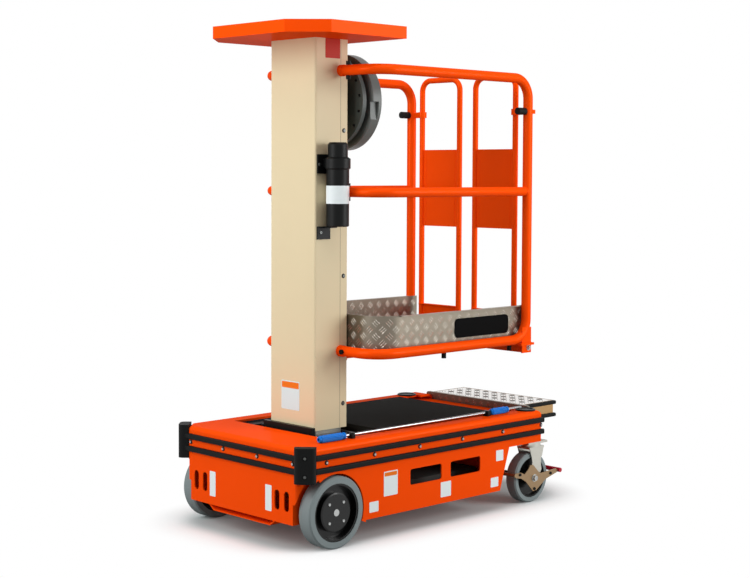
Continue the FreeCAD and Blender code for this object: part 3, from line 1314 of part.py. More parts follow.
def make_tube_brackets():
    """Two black brackets that hold the document tube on the near side of the mast."""
    brackets = []
    face = "-mast_width / 2"
    left, right = TUBE_X + " - bracket_half * 2", TUBE_X + " + bracket_half * 0.3"
    plates = (("high", "collar_low - 15", "collar_high + 10"),
              ("low", "tube_low - 47", "tube_low - seat_gap"))
    for name, low, high in plates:
        plate = box("bracket_plate_" + name, (left, right), (face + " - tube_bracket", face), (low, high))
        if name == "high":
            saddle_z = ("collar_low + 8", "collar_high - 8")
        else:
            saddle_z = (high + " - tube_bracket", high)
        saddle = box("bracket_saddle_" + name, (TUBE_X + " - bracket_half", right),
                     ("tube_y + collar_radius / 4", face), saddle_z)
        whole = fuse("bracket_whole_" + name, [plate, saddle])
        if name == "high":
            room = rod("bracket_room", "z", (TUBE_X, "tube_y", low + " - 1"), "collar_radius + seat_gap",
                       "%s - (%s) + 2" % (high, low))
            whole = cut("tube_bracket_high", whole, [room])
        brackets.append(whole)
    return group("tube_brackets", brackets)


pieces = [make_deck(), make_tub(), make_floor_pan(), make_ballast(), make_strips(), make_corner_bumpers(),
          make_well_plate(), make_mast_bar(), make_deck_mat(), make_deck_caps(), make_step(),
          make_step_fascia(),
          make_step_strips(), make_stowed_bar(), make_bar_grips(), make_bar_clips(), make_stub_axles(),
          make_castor_mounts(), make_tool_tray(), make_rail_bolts(), make_toe_board(),
          make_platform_floor(),
          make_floor_frame(), make_platform_feet(), make_gate_stops(), make_document_tube(),
          make_tube_brackets()]
for several in (make_big_wheels(), make_castors(), make_mast(), make_guard_rails(), make_gates(),
                make_winder()):
    pieces.extend(several)
doc.recompute()

for thing in doc.Objects:
    if any(state in ("Invalid", "Error") for state in thing.State):
        raise RuntimeError("failed object: " + thing.Label)
for piece in pieces:
    if piece.Shape.isNull() or not piece.Shape.isValid() or not piece.Shape.Solids:
        raise RuntimeError("bad shape: " + piece.Label)

os.makedirs("parts", exist_ok=True)
for piece in pieces:
    piece.Shape.exportStep("parts/%s.step" % piece.Label)
print(len(pieces), "pieces,", sum(len(piece.Shape.Solids) for piece in pieces), "solids")
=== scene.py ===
import json
import math

import bpy
from mathutils import Matrix, Vector

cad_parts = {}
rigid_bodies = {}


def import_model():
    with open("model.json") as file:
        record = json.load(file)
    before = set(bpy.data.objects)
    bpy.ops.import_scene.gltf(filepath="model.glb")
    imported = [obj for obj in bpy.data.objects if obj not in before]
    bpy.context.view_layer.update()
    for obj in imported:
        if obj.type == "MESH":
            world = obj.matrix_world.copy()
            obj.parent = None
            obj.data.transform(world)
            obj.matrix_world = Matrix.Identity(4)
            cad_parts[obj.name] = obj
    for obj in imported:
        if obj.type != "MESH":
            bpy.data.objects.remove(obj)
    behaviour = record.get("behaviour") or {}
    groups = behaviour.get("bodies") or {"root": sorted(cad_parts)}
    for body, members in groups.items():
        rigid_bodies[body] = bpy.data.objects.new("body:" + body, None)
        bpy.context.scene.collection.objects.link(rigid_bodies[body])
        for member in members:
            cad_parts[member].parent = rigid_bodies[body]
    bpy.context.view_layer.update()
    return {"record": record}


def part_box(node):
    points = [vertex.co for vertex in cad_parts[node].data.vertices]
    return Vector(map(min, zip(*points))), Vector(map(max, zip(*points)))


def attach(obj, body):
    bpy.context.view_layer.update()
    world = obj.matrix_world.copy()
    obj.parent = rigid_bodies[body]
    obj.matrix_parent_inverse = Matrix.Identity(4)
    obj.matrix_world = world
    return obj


# Looks of the vertical mast lift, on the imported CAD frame. Metres; X runs from the mast end
# (negative) to the boarding step, Y across the machine, Z up.

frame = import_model()

SIDES = (("near", -1), ("far", 1))
UP, AHEAD, NEAR = (0, 0, 1), (-1, 0, 0), (0, -1, 0)  # ahead is the way the mast end points
LABEL_THICKNESS, FIELD_THICKNESS = 0.0006, 0.0002  # a label, and a coloured field or line


def node_box(name):
    """Low and high corner of the box round a CAD node."""
    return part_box(name)


def node_middle(name):
    low, high = node_box(name)
    return (low + high) / 2


def colour(code):
    """A colour written as six hex digits, turned into the scene's linear values."""
    parts = [int(code[i:i + 2], 16) / 255 for i in (0, 2, 4)]
    return tuple(c / 12.92 if c <= 0.04045 else ((c + 0.055) / 1.055) ** 2.4 for c in parts) + (1,)


# Nodes

def node(tree, kind, feeds=(), **values):
    """A node with its settings and input values; a feed is (input, output socket or value)."""
    made = tree.nodes.new(kind)
    for name, value in values.items():
        if hasattr(made, name):
            setattr(made, name, value)
        else:
            made.inputs[name.replace("_", " ")].default_value = value
    for entry, source in feeds:
        if isinstance(source, bpy.types.NodeSocket):
            tree.links.new(source, made.inputs[entry])
        else:
            made.inputs[entry].default_value = source
    return made


def sums(tree, operation, *terms):
    """What one maths node puts out; a term is a number or an output socket."""
    return node(tree, "ShaderNodeMath", enumerate(terms), operation=operation).outputs[0]


# Shader groups

DRIFT_SCALE, STREAK_SCALE = 6.0, 60.0  # of the noise that shifts the shade of paint and of metal
PEEL_DEPTH, GRAIN_DEPTH = 0.0004, 0.0002
GLOSS_DRIFT = 0.08


def new_group(name, inputs):
    """A shader group with these inputs that puts out a colour, a roughness and a normal."""
    group = bpy.data.node_groups.new(name, "ShaderNodeTree")
    for label, kind, value in inputs:
        socket = group.interface.new_socket(label, in_out="INPUT", socket_type=kind)
        socket.default_value = value
    for label, kind in (("Colour", "NodeSocketColor"), ("Roughness", "NodeSocketFloat"),
                        ("Normal", "NodeSocketVector")):
        group.interface.new_socket(label, in_out="OUTPUT", socket_type=kind)
    return group, group.nodes.new("NodeGroupInput"), group.nodes.new("NodeGroupOutput")


def vary(group, give, take, pattern, shade_amount, gloss_amount):
    """Let a pattern about one half shift the shade and the gloss by the named amounts."""
    centred = sums(group, "SUBTRACT", pattern, 0.5)
    shade = sums(group, "MULTIPLY_ADD", centred, give.outputs[shade_amount], 1.0)
    tint = node(group, "ShaderNodeVectorMath", [(0, give.outputs["Colour"]), ("Scale", shade)],
                operation="SCALE")
    gloss = sums(group, "MULTIPLY_ADD", centred, give.outputs[gloss_amount], give.outputs["Roughness"])
    group.links.new(tint.outputs[0], take.inputs["Colour"])
    group.links.new(gloss, take.inputs["Roughness"])


def emboss(group, take, pattern, strength, depth):
    """Raise a pattern in the normal."""
    bump = node(group, "ShaderNodeBump", [("Strength", strength), ("Height", pattern)], Distance=depth)
    group.links.new(bump.outputs[0], take.inputs["Normal"])


def make_paint_skin():
    """Sprayed or moulded skin: a slow drift of shade and gloss and a fine orange peel."""
    group, give, take = new_group("paint_skin", (
        ("Colour", "NodeSocketColor", (0.5, 0.5, 0.5, 1)),
        ("Roughness", "NodeSocketFloat", 0.4),
        ("Drift", "NodeSocketFloat", 0.05),
        ("Gloss Drift", "NodeSocketFloat", 0.1),
        ("Peel Size", "NodeSocketFloat", 900.0),
        ("Peel", "NodeSocketFloat", 0.1)))
    place = node(group, "ShaderNodeTexCoord").outputs["Object"]
    slow = node(group, "ShaderNodeTexNoise", [("Vector", place)], Scale=DRIFT_SCALE, Detail=4.0,
                Roughness=0.6)
    vary(group, give, take, slow.outputs["Fac"], "Drift", "Gloss Drift")
    fine = node(group, "ShaderNodeTexNoise", [("Vector", place), ("Scale", give.outputs["Peel Size"])],
                Detail=2.0)
    emboss(group, take, fine.outputs["Fac"], give.outputs["Peel"], PEEL_DEPTH)
    return group


def make_metal_grain():
    """Rolled or drawn metal: long fine streaks along one axis in shade and gloss."""
    group, give, take = new_group("metal_grain", (
        ("Colour", "NodeSocketColor", (0.6, 0.6, 0.6, 1)),
        ("Roughness", "NodeSocketFloat", 0.3),
        ("Streaks", "NodeSocketFloat", 0.1),
        ("Stretch", "NodeSocketVector", (1.0, 1.0, 1.0)),
        ("Grain", "NodeSocketFloat", 0.1)))
    place = node(group, "ShaderNodeTexCoord").outputs["Object"]
    pull = node(group, "ShaderNodeVectorMath", [(0, place), (1, give.outputs["Stretch"])],
                operation="MULTIPLY")
    streak = node(group, "ShaderNodeTexNoise", [("Vector", pull.outputs[0])], Scale=STREAK_SCALE,
                  Detail=5.0, Roughness=0.65)
    vary(group, give, take, streak.outputs["Fac"], "Streaks", "Streaks")
    emboss(group, take, streak.outputs["Fac"], give.outputs["Grain"], GRAIN_DEPTH)
    return group


PAINT_SKIN = make_paint_skin()
METAL_GRAIN = make_metal_grain()


def finish_of(name, group, values, **shader):
    """A material from a shared group with its own values, plus plain values on the shader."""
    material = bpy.data.materials.new(name)
    material.use_nodes = True
    tree = material.node_tree
    principled = tree.nodes["Principled BSDF"]
    skin = node(tree, "ShaderNodeGroup", node_tree=group)
    for label, value in values.items():
        skin.inputs[label].default_value = value
    for given, taken in (("Colour", "Base Color"), ("Roughness", "Roughness"), ("Normal", "Normal")):
        tree.links.new(skin.outputs[given], principled.inputs[taken])
    for label, value in shader.items():
        principled.inputs[label.replace("_", " ")].default_value = value
    material.diffuse_color = values["Colour"]
    return material


def paint(name, code, roughness, drift=0.05, size=900.0, peel=0.1, **shader):
    return finish_of(name, PAINT_SKIN, {
        "Colour": colour(code), "Roughness": roughness, "Drift": drift, "Gloss Drift": GLOSS_DRIFT,
        "Peel Size": size, "Peel": peel}, **shader)


def metal(name, code, roughness, streaks=0.1, stretch=(1, 1, 1), grain=0.1, **shader):
    shader.setdefault("Metallic", 1.0)
    return finish_of(name, METAL_GRAIN, {
        "Colour": colour(code), "Roughness": roughness, "Streaks": streaks, "Stretch": stretch,
        "Grain": grain}, **shader)


# One finish for each material slot of the record
FINISHES = {
    "orange_paint": paint("orange_powder_coat", "FC4E06", 0.36, peel=0.05, Specular_IOR_Level=0.0,
                          Metallic=0.1, Specular_Tint=(1.0, 0.45, 0.2, 1.0),
                          Coat_Weight=0.05, Coat_Roughness=0.16),
    "cream_paint": paint("cream_mast_paint", "E3D3AE", 0.42, peel=0.05, Specular_IOR_Level=0.15),
    "cast_ballast": paint("cast_iron", "33332F", 0.8, drift=0.3, size=300.0, peel=0.5),
    "black_rubber": paint("black_bumper_rubber", "141515", 0.55, drift=0.15, size=700.0, peel=0.25,
                          Specular_IOR_Level=0.08),
    "black_plastic": paint("black_moulded_plastic", "101111", 0.38, drift=0.1, size=1200.0, peel=0.15,
                           Specular_IOR_Level=0.12),
    "dark_plate": paint("dark_grey_plate", "2A2E31", 0.5, drift=0.1, Specular_IOR_Level=0.15),
    "deck_cover": paint("black_grit_cover", "1B1916", 0.7, drift=0.2, size=1500.0, peel=0.6,
                        Specular_IOR_Level=0.02),
    "tread_plate": metal("aluminium_tread_plate", "787063", 0.36, streaks=0.12, grain=0.25, Metallic=0.75),
    "bronze_plate": metal("bronze_anodised_plate", "A9865A", 0.36, streaks=0.15, grain=0.15, Metallic=0.85),
    "chrome_bar": metal("chrome_bar", "A2A4A6", 0.16, streaks=0.05, grain=0.05),
    "blue_grip": paint("blue_vinyl_grip", "0876D4", 0.42, drift=0.1, Specular_IOR_Level=0.15),
    "zinc_steel": metal("zinc_plated_steel", "BAB8AF", 0.34, streaks=0.12, grain=0.1, Metallic=0.9),
    "mast_steel": metal("machined_mast_section", "B3B2AB", 0.3, streaks=0.12, stretch=(12, 12, 0.4)),
    "white_pads": paint("white_slide_pad", "E4E2DC", 0.5),
    "winder_grey": paint("winder_dark_grey", "454C49", 0.42, drift=0.12, size=600.0, peel=0.2,
                         Specular_IOR_Level=0.3),
    "grey_tyre": paint("grey_tyre_rubber", "7A8586", 0.6, drift=0.08, size=500.0, peel=0.2),
    "wheel_black": paint("glossy_black_wheel", "0D0E0E", 0.28, Specular_IOR_Level=0.25, Coat_Weight=0.15,
                         Coat_Roughness=0.1),
    "red_pedal": paint("red_pedal_paint", "B8122A", 0.35, Specular_IOR_Level=0.2, Coat_Weight=0.1),
}
# Finishes beside them, for the pieces below, the castor brakes and the winding wheel
EXTRA = {
    # The labels' white is tinted a little cool to cancel orange bounce light off the paint; the mast's label,
    # above the orange deck, is tinted more
    "label_white": paint("white_label", "EAF3F4", 0.4, drift=0.02, peel=0.02, Specular_IOR_Level=0.15),
    "mast_label": paint("white_label_tinted_against_bounce", "DAF1F2", 0.4, drift=0.02, peel=0.02, Specular_IOR_Level=0.15),
    "label_orange": paint("orange_label", "F07A1E", 0.4, drift=0.02, peel=0.02, Specular_IOR_Level=0.1),
    "label_red": paint("red_label", "C02812", 0.4, drift=0.02, peel=0.02, Specular_IOR_Level=0.1),
    "bright_screw": metal("bright_screw", "B4B6B5", 0.22, streaks=0.05, grain=0.03),
    "black_screw": paint("black_screw", "0E0F0F", 0.35, drift=0.05, Specular_IOR_Level=0.15),
    "sign_black": paint("sign_black", "080808", 0.35, drift=0.02, peel=0.02, Specular_IOR_Level=0.02),
    "dull_screw": metal("dull_screw", "585A59", 0.32, streaks=0.05, grain=0.03),
    # Seam lines: the real seam between the mast covers, with a dark colour painted for the shade in its
    # reveal
    "seam_painted_shade": paint("seam_painted_shade", "6E6047", 0.7),
    "rim_grey": paint("winder_rim_grey", "575D5A", 0.42, drift=0.12, size=500.0, peel=0.3),
    # The step sheet's near-white colour is painted reflection of the white surround
    "step_painted_reflection": metal("step_sheet_painted_reflection", "F2F1EE", 0.3, streaks=0.08, grain=0.1, Metallic=0.6),
    "tread_bright": metal("tread_bar_bright", "C6C1B6", 0.26, streaks=0.1, grain=0.1, Metallic=0.9),
    # The step bars' dark colour is painted shade, for the shadows between the tread ribs
    "tread_painted_shade": metal("tread_bar_painted_shade", "5A5853", 0.4, streaks=0.15, grain=0.2, Metallic=0.6),
    "brown_rocker": metal("bronze_rocker", "93795A", 0.34, streaks=0.12, grain=0.1, Metallic=0.75),
}

for part in frame["record"]["subparts"]:
    mesh = bpy.data.objects[part["node"]].data
    mesh.materials.clear()
    mesh.materials.append(FINISHES[part["material_slot"]])
for name, side in SIDES:
    bpy.data.objects["castor_brake_" + name].data.materials[0] = EXTRA["brown_rocker"]
bpy.data.objects["winding_wheel"].data.materials[0] = EXTRA["rim_grey"]


# Geometry nodes

def new_tree(name, inputs):
    tree = bpy.data.node_groups.new(name, "GeometryNodeTree")
    tree.interface.new_socket("Geometry", in_out="INPUT", socket_type="NodeSocketGeometry")
    for label, kind in inputs:
        tree.interface.new_socket(label, in_out="INPUT", socket_type=kind)
    tree.interface.new_socket("Geometry", in_out="OUTPUT", socket_type="NodeSocketGeometry")
    return tree, tree.nodes.new("NodeGroupInput"), tree.nodes.new("NodeGroupOutput")


def close_tree(tree, give, take, shape):
    """Make the copies real and give them the material."""
    real = node(tree, "GeometryNodeRealizeInstances", [("Geometry", shape)])
    dressed = node(tree, "GeometryNodeSetMaterial",
                   [("Geometry", real.outputs[0]), ("Material", give.outputs["Material"])])
    tree.links.new(dressed.outputs[0], take.inputs["Geometry"])
    return tree


def make_fastener_tree():
    """A stepped head with a recess, set on the middle of every face and turned to its normal."""
    tree, give, take = new_tree("fasteners", (
        ("Head Radius", "NodeSocketFloat"), ("Head Height", "NodeSocketFloat"),
        ("Crown Share", "NodeSocketFloat"), ("Recess Share", "NodeSocketFloat"),
        ("Recess Depth", "NodeSocketFloat"), ("Sides", "NodeSocketInt"),
        ("Washer Radius", "NodeSocketFloat"), ("Washer Height", "NodeSocketFloat"),
        ("Material", "NodeSocketMaterial")))
    facing = node(tree, "GeometryNodeInputNormal")
    seats = node(tree, "GeometryNodeCaptureAttribute", [("Geometry", give.outputs["Geometry"])],
                 domain="FACE")
    seats.capture_items.new("VECTOR", "Facing")
    tree.links.new(facing.outputs[0], seats.inputs["Facing"])
    points = node(tree, "GeometryNodeMeshToPoints", [("Mesh", seats.outputs["Geometry"])], mode="FACES")
    turned = node(tree, "FunctionNodeAlignRotationToVector", [("Vector", seats.outputs["Facing"])], axis="Z")
    barrel = node(tree, "GeometryNodeMeshCylinder", [
        ("Vertices", give.outputs["Sides"]), ("Radius", give.outputs["Head Radius"]),
        ("Depth", give.outputs["Head Height"])])
    raised = node(tree, "ShaderNodeCombineXYZ", [
        ("Z", sums(tree, "MULTIPLY_ADD", give.outputs["Head Height"], 0.5, give.outputs["Washer Height"]))])
    seated = node(tree, "GeometryNodeTransform", [("Geometry", barrel.outputs["Mesh"]),
                                                  ("Translation", raised.outputs[0])])
    crown = node(tree, "GeometryNodeScaleElements", [
        ("Geometry", seated.outputs[0]), ("Selection", barrel.outputs["Top"]),
        ("Scale", give.outputs["Crown Share"])], domain="FACE")
    ring = node(tree, "GeometryNodeExtrudeMesh", [
        ("Mesh", crown.outputs[0]), ("Selection", barrel.outputs["Top"])], mode="FACES", Offset_Scale=0.0)
    mouth = node(tree, "GeometryNodeScaleElements", [
        ("Geometry", ring.outputs["Mesh"]), ("Selection", ring.outputs["Top"]),
        ("Scale", give.outputs["Recess Share"])], domain="FACE")
    recess = node(tree, "GeometryNodeExtrudeMesh", [
        ("Mesh", mouth.outputs[0]), ("Selection", ring.outputs["Top"]),
        ("Offset Scale", sums(tree, "MULTIPLY", give.outputs["Recess Depth"], -1.0))], mode="FACES")
    washer = node(tree, "GeometryNodeMeshCylinder", [
        ("Radius", give.outputs["Washer Radius"]), ("Depth", give.outputs["Washer Height"])], Vertices=20)
    half = node(tree, "ShaderNodeCombineXYZ", [
        ("Z", sums(tree, "MULTIPLY", give.outputs["Washer Height"], 0.5))])
    laid = node(tree, "GeometryNodeTransform", [("Geometry", washer.outputs["Mesh"]),
                                                ("Translation", half.outputs[0])])
    head = node(tree, "GeometryNodeJoinGeometry")
    tree.links.new(recess.outputs["Mesh"], head.inputs[0])
    tree.links.new(laid.outputs[0], head.inputs[0])
    copies = node(tree, "GeometryNodeInstanceOnPoints", [
        ("Points", points.outputs[0]), ("Instance", head.outputs[0]), ("Rotation", turned.outputs[0])])
    return close_tree(tree, give, take, copies.outputs[0])


EDGE_CLEAR = 0.85  # pitches from an edge to the middle of the nearest patches


def make_tread_tree():
    """Patches of raised bars, on every second place of a grid and turned by 45 degrees each way,
    laid along a line and wrapped round its bends."""
    tree, give, take = new_tree("tread_bars", (
        ("Across", "NodeSocketVector"), ("Width", "NodeSocketFloat"), ("Pitch", "NodeSocketFloat"),
        ("Bar Length", "NodeSocketFloat"), ("Bar Width", "NodeSocketFloat"),
        ("Bar Height", "NodeSocketFloat"), ("Bar Gap", "NodeSocketFloat"), ("Side", "NodeSocketFloat"),
        ("Material", "NodeSocketMaterial")))
    line = give.outputs["Geometry"]
    length = node(tree, "GeometryNodeCurveLength", [("Curve", line)]).outputs[0]
    pitch = give.outputs["Pitch"]
    edge = sums(tree, "MULTIPLY", pitch, 2 * EDGE_CLEAR)
    free_run = sums(tree, "SUBTRACT", length, edge)
    free_rise = sums(tree, "SUBTRACT", give.outputs["Width"], edge)
    columns = sums(tree, "ADD", sums(tree, "ROUND", sums(tree, "DIVIDE", free_run, pitch)), 1.0)
    rows = sums(tree, "ADD", sums(tree, "ROUND", sums(tree, "DIVIDE", free_rise, pitch)), 1.0)
    grid = node(tree, "GeometryNodeMeshGrid", [
        ("Size X", free_run), ("Size Y", free_rise), ("Vertices X", columns), ("Vertices Y", rows)])
    # Column and row of each place; halves and quarters keep the counts clear of rounding
    index = node(tree, "GeometryNodeInputIndex").outputs[0]
    column = sums(tree, "FLOOR", sums(tree, "DIVIDE", sums(tree, "ADD", index, 0.5), rows))
    row = sums(tree, "SUBTRACT", index, sums(tree, "MULTIPLY", column, rows))
    odd = sums(tree, "MODULO", sums(tree, "ADD", sums(tree, "ADD", row, column), 0.25), 2.0)
    kept = sums(tree, "LESS_THAN", odd, 1.0)
    slanted = sums(tree, "FLOOR", sums(tree, "MODULO", sums(tree, "ADD", column, 0.25), 2.0))
    spin = node(tree, "ShaderNodeCombineXYZ", [
        ("Z", sums(tree, "MULTIPLY_ADD", slanted, math.pi / 2, math.pi / 4))])
    # One bar: a low six-sided mound pulled long; three of them side by side make a patch
    mound = node(tree, "GeometryNodeMeshCone", Vertices=6, Side_Segments=1, Radius_Top=0.5, Radius_Bottom=1.0,
                 Depth=1.0)
    stretched = node(tree, "ShaderNodeCombineXYZ", [
        ("X", sums(tree, "MULTIPLY", give.outputs["Bar Length"], 0.5)),
        ("Y", sums(tree, "MULTIPLY", give.outputs["Bar Width"], 0.5)), ("Z", give.outputs["Bar Height"])])
    patch = node(tree, "GeometryNodeJoinGeometry")
    for step in (-1.0, 0.0, 1.0):
        shift = node(tree, "ShaderNodeCombineXYZ", [
            ("Y", sums(tree, "MULTIPLY", give.outputs["Bar Gap"], step))])
        bar = node(tree, "GeometryNodeTransform", [
            ("Geometry", mound.outputs["Mesh"]), ("Translation", shift.outputs[0]),
            ("Scale", stretched.outputs[0])])
        tree.links.new(bar.outputs[0], patch.inputs[0])
    copies = node(tree, "GeometryNodeInstanceOnPoints", [
        ("Points", grid.outputs["Mesh"]), ("Selection", kept), ("Instance", patch.outputs[0]),
        ("Rotation", spin.outputs[0])])
    flat = node(tree, "GeometryNodeRealizeInstances", [("Geometry", copies.outputs[0])])
    # Wrap: X runs along the line, Y across it, Z off the plate
    place = node(tree, "GeometryNodeInputPosition")
    parts = node(tree, "ShaderNodeSeparateXYZ", [("Vector", place.outputs[0])])
    run = sums(tree, "ADD", parts.outputs["X"], sums(tree, "MULTIPLY", length, 0.5))
    rise = sums(tree, "ADD", parts.outputs["Y"], sums(tree, "MULTIPLY", give.outputs["Width"], 0.5))
    sample = node(tree, "GeometryNodeSampleCurve", [("Curves", line), ("Length", run)], mode="LENGTH")
    off = node(tree, "ShaderNodeVectorMath", [
        (0, sample.outputs["Tangent"]), (1, give.outputs["Across"])], operation="CROSS_PRODUCT")
    lift = sums(tree, "MULTIPLY", parts.outputs["Z"], give.outputs["Side"])
    outwards = node(tree, "ShaderNodeVectorMath", [(0, off.outputs[0]), ("Scale", lift)], operation="SCALE")
    across = node(tree, "ShaderNodeVectorMath", [(0, give.outputs["Across"]), ("Scale", rise)],
                  operation="SCALE")
    base = node(tree, "ShaderNodeVectorMath", [(0, sample.outputs["Position"]), (1, across.outputs[0])],
                operation="ADD")
    final = node(tree, "ShaderNodeVectorMath", [(0, base.outputs[0]), (1, outwards.outputs[0])],
                 operation="ADD")
    wrapped = node(tree, "GeometryNodeSetPosition", [
        ("Geometry", flat.outputs[0]), ("Position", final.outputs[0])])
    return close_tree(tree, give, take, wrapped.outputs[0])


def make_ring_tree():
    """Bars set round a circle and laid along its axis, such as the ribs of a hand grip."""
    tree, give, take = new_tree("ribs_round_a_bar", (
        ("Count", "NodeSocketInt"), ("Circle Radius", "NodeSocketFloat"), ("Rib Length", "NodeSocketFloat"),
        ("Rib Width", "NodeSocketFloat"), ("Centre", "NodeSocketVector"), ("Turn", "NodeSocketVector"),
        ("Material", "NodeSocketMaterial")))
    circle = node(tree, "GeometryNodeMeshCircle", [
        ("Vertices", give.outputs["Count"]), ("Radius", give.outputs["Circle Radius"])])
    rib = node(tree, "GeometryNodeMeshCylinder", [
        ("Radius", sums(tree, "MULTIPLY", give.outputs["Rib Width"], 0.5)),
        ("Depth", give.outputs["Rib Length"])], Vertices=8)
    copies = node(tree, "GeometryNodeInstanceOnPoints", [
        ("Points", circle.outputs["Mesh"]), ("Instance", rib.outputs["Mesh"])])
    set_down = node(tree, "GeometryNodeTransform", [
        ("Geometry", copies.outputs[0]), ("Translation", give.outputs["Centre"]),
        ("Rotation", give.outputs["Turn"])])
    return close_tree(tree, give, take, set_down.outputs[0])


FASTENERS = make_fastener_tree()
TREAD_BARS = make_tread_tree()
RING_RIBS = make_ring_tree()


def hand_over(name, mesh, body):
    """Put a finished mesh into the scene as a piece that rides on a body."""
    piece = bpy.data.objects.new(name, mesh)
    bpy.context.collection.objects.link(piece)
    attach(piece, body)


def grow(name, tree, seed_data, body, values):
    """Run a tree on seed data and keep the result as a plain mesh."""
    seed = bpy.data.objects.new(name + "_seed", seed_data)
    bpy.context.collection.objects.link(seed)
    modifier = seed.modifiers.new("grow", "NODES")
    modifier.node_group = tree
    for item in tree.interface.items_tree:
        if item.item_type == "SOCKET" and item.in_out == "INPUT" and item.name in values:
            modifier[item.identifier] = values[item.name]
    seed.update_tag()
    graph = bpy.context.evaluated_depsgraph_get()
    mesh = bpy.data.meshes.new_from_object(seed.evaluated_get(graph))
    seed.modifiers.clear()
    bpy.data.objects.remove(seed)
    mesh.materials.clear()
    mesh.materials.append(values["Material"])
    for polygon in mesh.polygons:
        polygon.material_index = 0
    hand_over(name, mesh, body)


# Plain meshes

def piece_from(name, points, faces, material, body):
    mesh = bpy.data.meshes.new(name)
    mesh.from_pydata([tuple(p) for p in points], [], faces)
    mesh.materials.append(material)
    mesh.update()
    hand_over(name, mesh, body)


LEVEL = 0.9  # a face counts as level where its normal points up or down by more than this
LEAST_EDGE = 1e-5  # straight length that a rounded corner leaves, so that no two points meet
SEAT_HALF = 0.001


def turned_to(normal, up=None):
    """Right, up and outward directions of a flat piece; up is Z, or Y on a level face, if not given."""
    out = Vector(normal).normalized()
    if up is None:
        up = UP if abs(out.z) < LEVEL else (0, 1, 0)
    right = Vector(up).cross(out).normalized()
    return right, out.cross(right), out


def plate_shape(centre, normal, up, width, height, thickness, corner, steps=4):
    """Corners and faces of a thin plate with rounded corners, seated on centre."""
    right, rise, out = turned_to(normal, up)
    outline = []
    for k, (sx, sy) in enumerate(((1, 1), (-1, 1), (-1, -1), (1, -1))):
        for i in range(steps + 1):
            angle = math.pi / 2 * (k + i / steps)
            outline.append((sx * (width / 2 - corner) + corner * math.cos(angle),
                            sy * (height / 2 - corner) + corner * math.sin(angle)))
    count = len(outline)
    points = [Vector(centre) + right * a + rise * b + out * c for c in (0, thickness) for a, b in outline]
    faces = [list(range(count))[::-1], list(range(count, 2 * count))]
    faces += [[i, (i + 1) % count, count + (i + 1) % count, count + i] for i in range(count)]
    return points, faces


def plates(name, entries, material, body, thickness=LABEL_THICKNESS, corner=0.003):
    """Like plates of one body as one piece; an entry is (centre, normal, up, width, height)."""
    points, faces = [], []
    for centre, normal, up, width, height in entries:
        base = len(points)
        more, sides = plate_shape(centre, normal, up, width, height, thickness,
                                  min(corner, width / 2 - LEAST_EDGE))
        points += more
        faces += [[base + i for i in side] for side in sides]
    piece_from(name, points, faces, material, body)


def screw_seats(entries):
    """Small faces that carry a fastener each; an entry is (place, normal)."""
    points, faces = [], []
    for place, normal in entries:
        right, rise = turned_to(normal)[:2]
        base = len(points)
        points += [tuple(Vector(place) + (right * a + rise * b) * SEAT_HALF)
                   for a, b in ((-1, -1), (1, -1), (1, 1), (-1, 1))]
        faces.append([base, base + 1, base + 2, base + 3])
    mesh = bpy.data.meshes.new("seats")
    mesh.from_pydata(points, [], faces)
    mesh.update()
    return mesh


def screws(name, entries, material, body, slot, radius, height, crown=0.8, recess=0.45, depth=None,
           sides=16, washer=None, washer_height=0.0003):
    """Fastener heads of one body as one piece; the crown is given as a share of the head's radius
    and the recess as a share of the crown's."""
    grow(name, FASTENERS, screw_seats(entries), body, {
        "Head Radius": radius, "Head Height": height, "Crown Share": crown, "Recess Share": recess,
        "Recess Depth": depth or height * 0.5, "Sides": sides, "Washer Radius": washer or radius * 0.9,
        "Washer Height": washer_height, "Material": material})


def lifted(entries, height):
    """The same seats, moved off the surface by a height."""
    return [(Vector(place) + Vector(normal).normalized() * height, normal) for place, normal in entries]


def discs(name, entries, material, body, slot, radius, height, bevel=0.25, sides=24):
    """Flat round pieces with a bevelled edge; an entry is (place, normal)."""
    points, faces = [], []
    for place, normal in entries:
        right, rise, out = turned_to(normal)
        base = len(points)
        for reach, off in ((radius, 0.0), (radius, height * (1 - bevel)), (radius - height * bevel, height)):
            for i in range(sides):
                angle = 2 * math.pi * i / sides
                points.append(Vector(place) + right * reach * math.cos(angle)
                              + rise * reach * math.sin(angle) + out * off)
        for ring in range(2):
            a, b = base + ring * sides, base + (ring + 1) * sides
            faces += [[a + i, a + (i + 1) % sides, b + (i + 1) % sides, b + i] for i in range(sides)]
        faces.append([base + 2 * sides + i for i in range(sides)])
        faces.append([base + sides - 1 - i for i in range(sides)])
    piece_from(name, points, faces, material, body)


def bead(name, centre, axis, radius, tube, material, body, sides=48, steps=12):
    """A round bead about an axis, with the radius of its middle line and of its section."""
    right, rise, out = turned_to(axis)
    points, faces = [], []
    for i in range(sides):
        turn = 2 * math.pi * i / sides
        arm = right * math.cos(turn) + rise * math.sin(turn)
        for k in range(steps):
            roll = 2 * math.pi * k / steps
            points.append(Vector(centre) + out * tube * math.sin(roll)
                          + arm * (radius + tube * math.cos(roll)))
    for i in range(sides):
        a, b = i * steps, (i + 1) % sides * steps
        faces += [[a + k, b + k, b + (k + 1) % steps, a + (k + 1) % steps] for k in range(steps)]
    piece_from(name, points, faces, material, body)


def path_curve(points):
    curve = bpy.data.curves.new("path", "CURVE")
    curve.dimensions = "3D"
    spline = curve.splines.new("POLY")
    spline.points.add(len(points) - 1)
    for target, point in zip(spline.points, points):
        target.co = (*point, 1)
    return curve


def bar_pattern(pitch, length, width, height, gap):
    return {"Pitch": pitch, "Bar Length": length, "Bar Width": width, "Bar Height": height, "Bar Gap": gap}


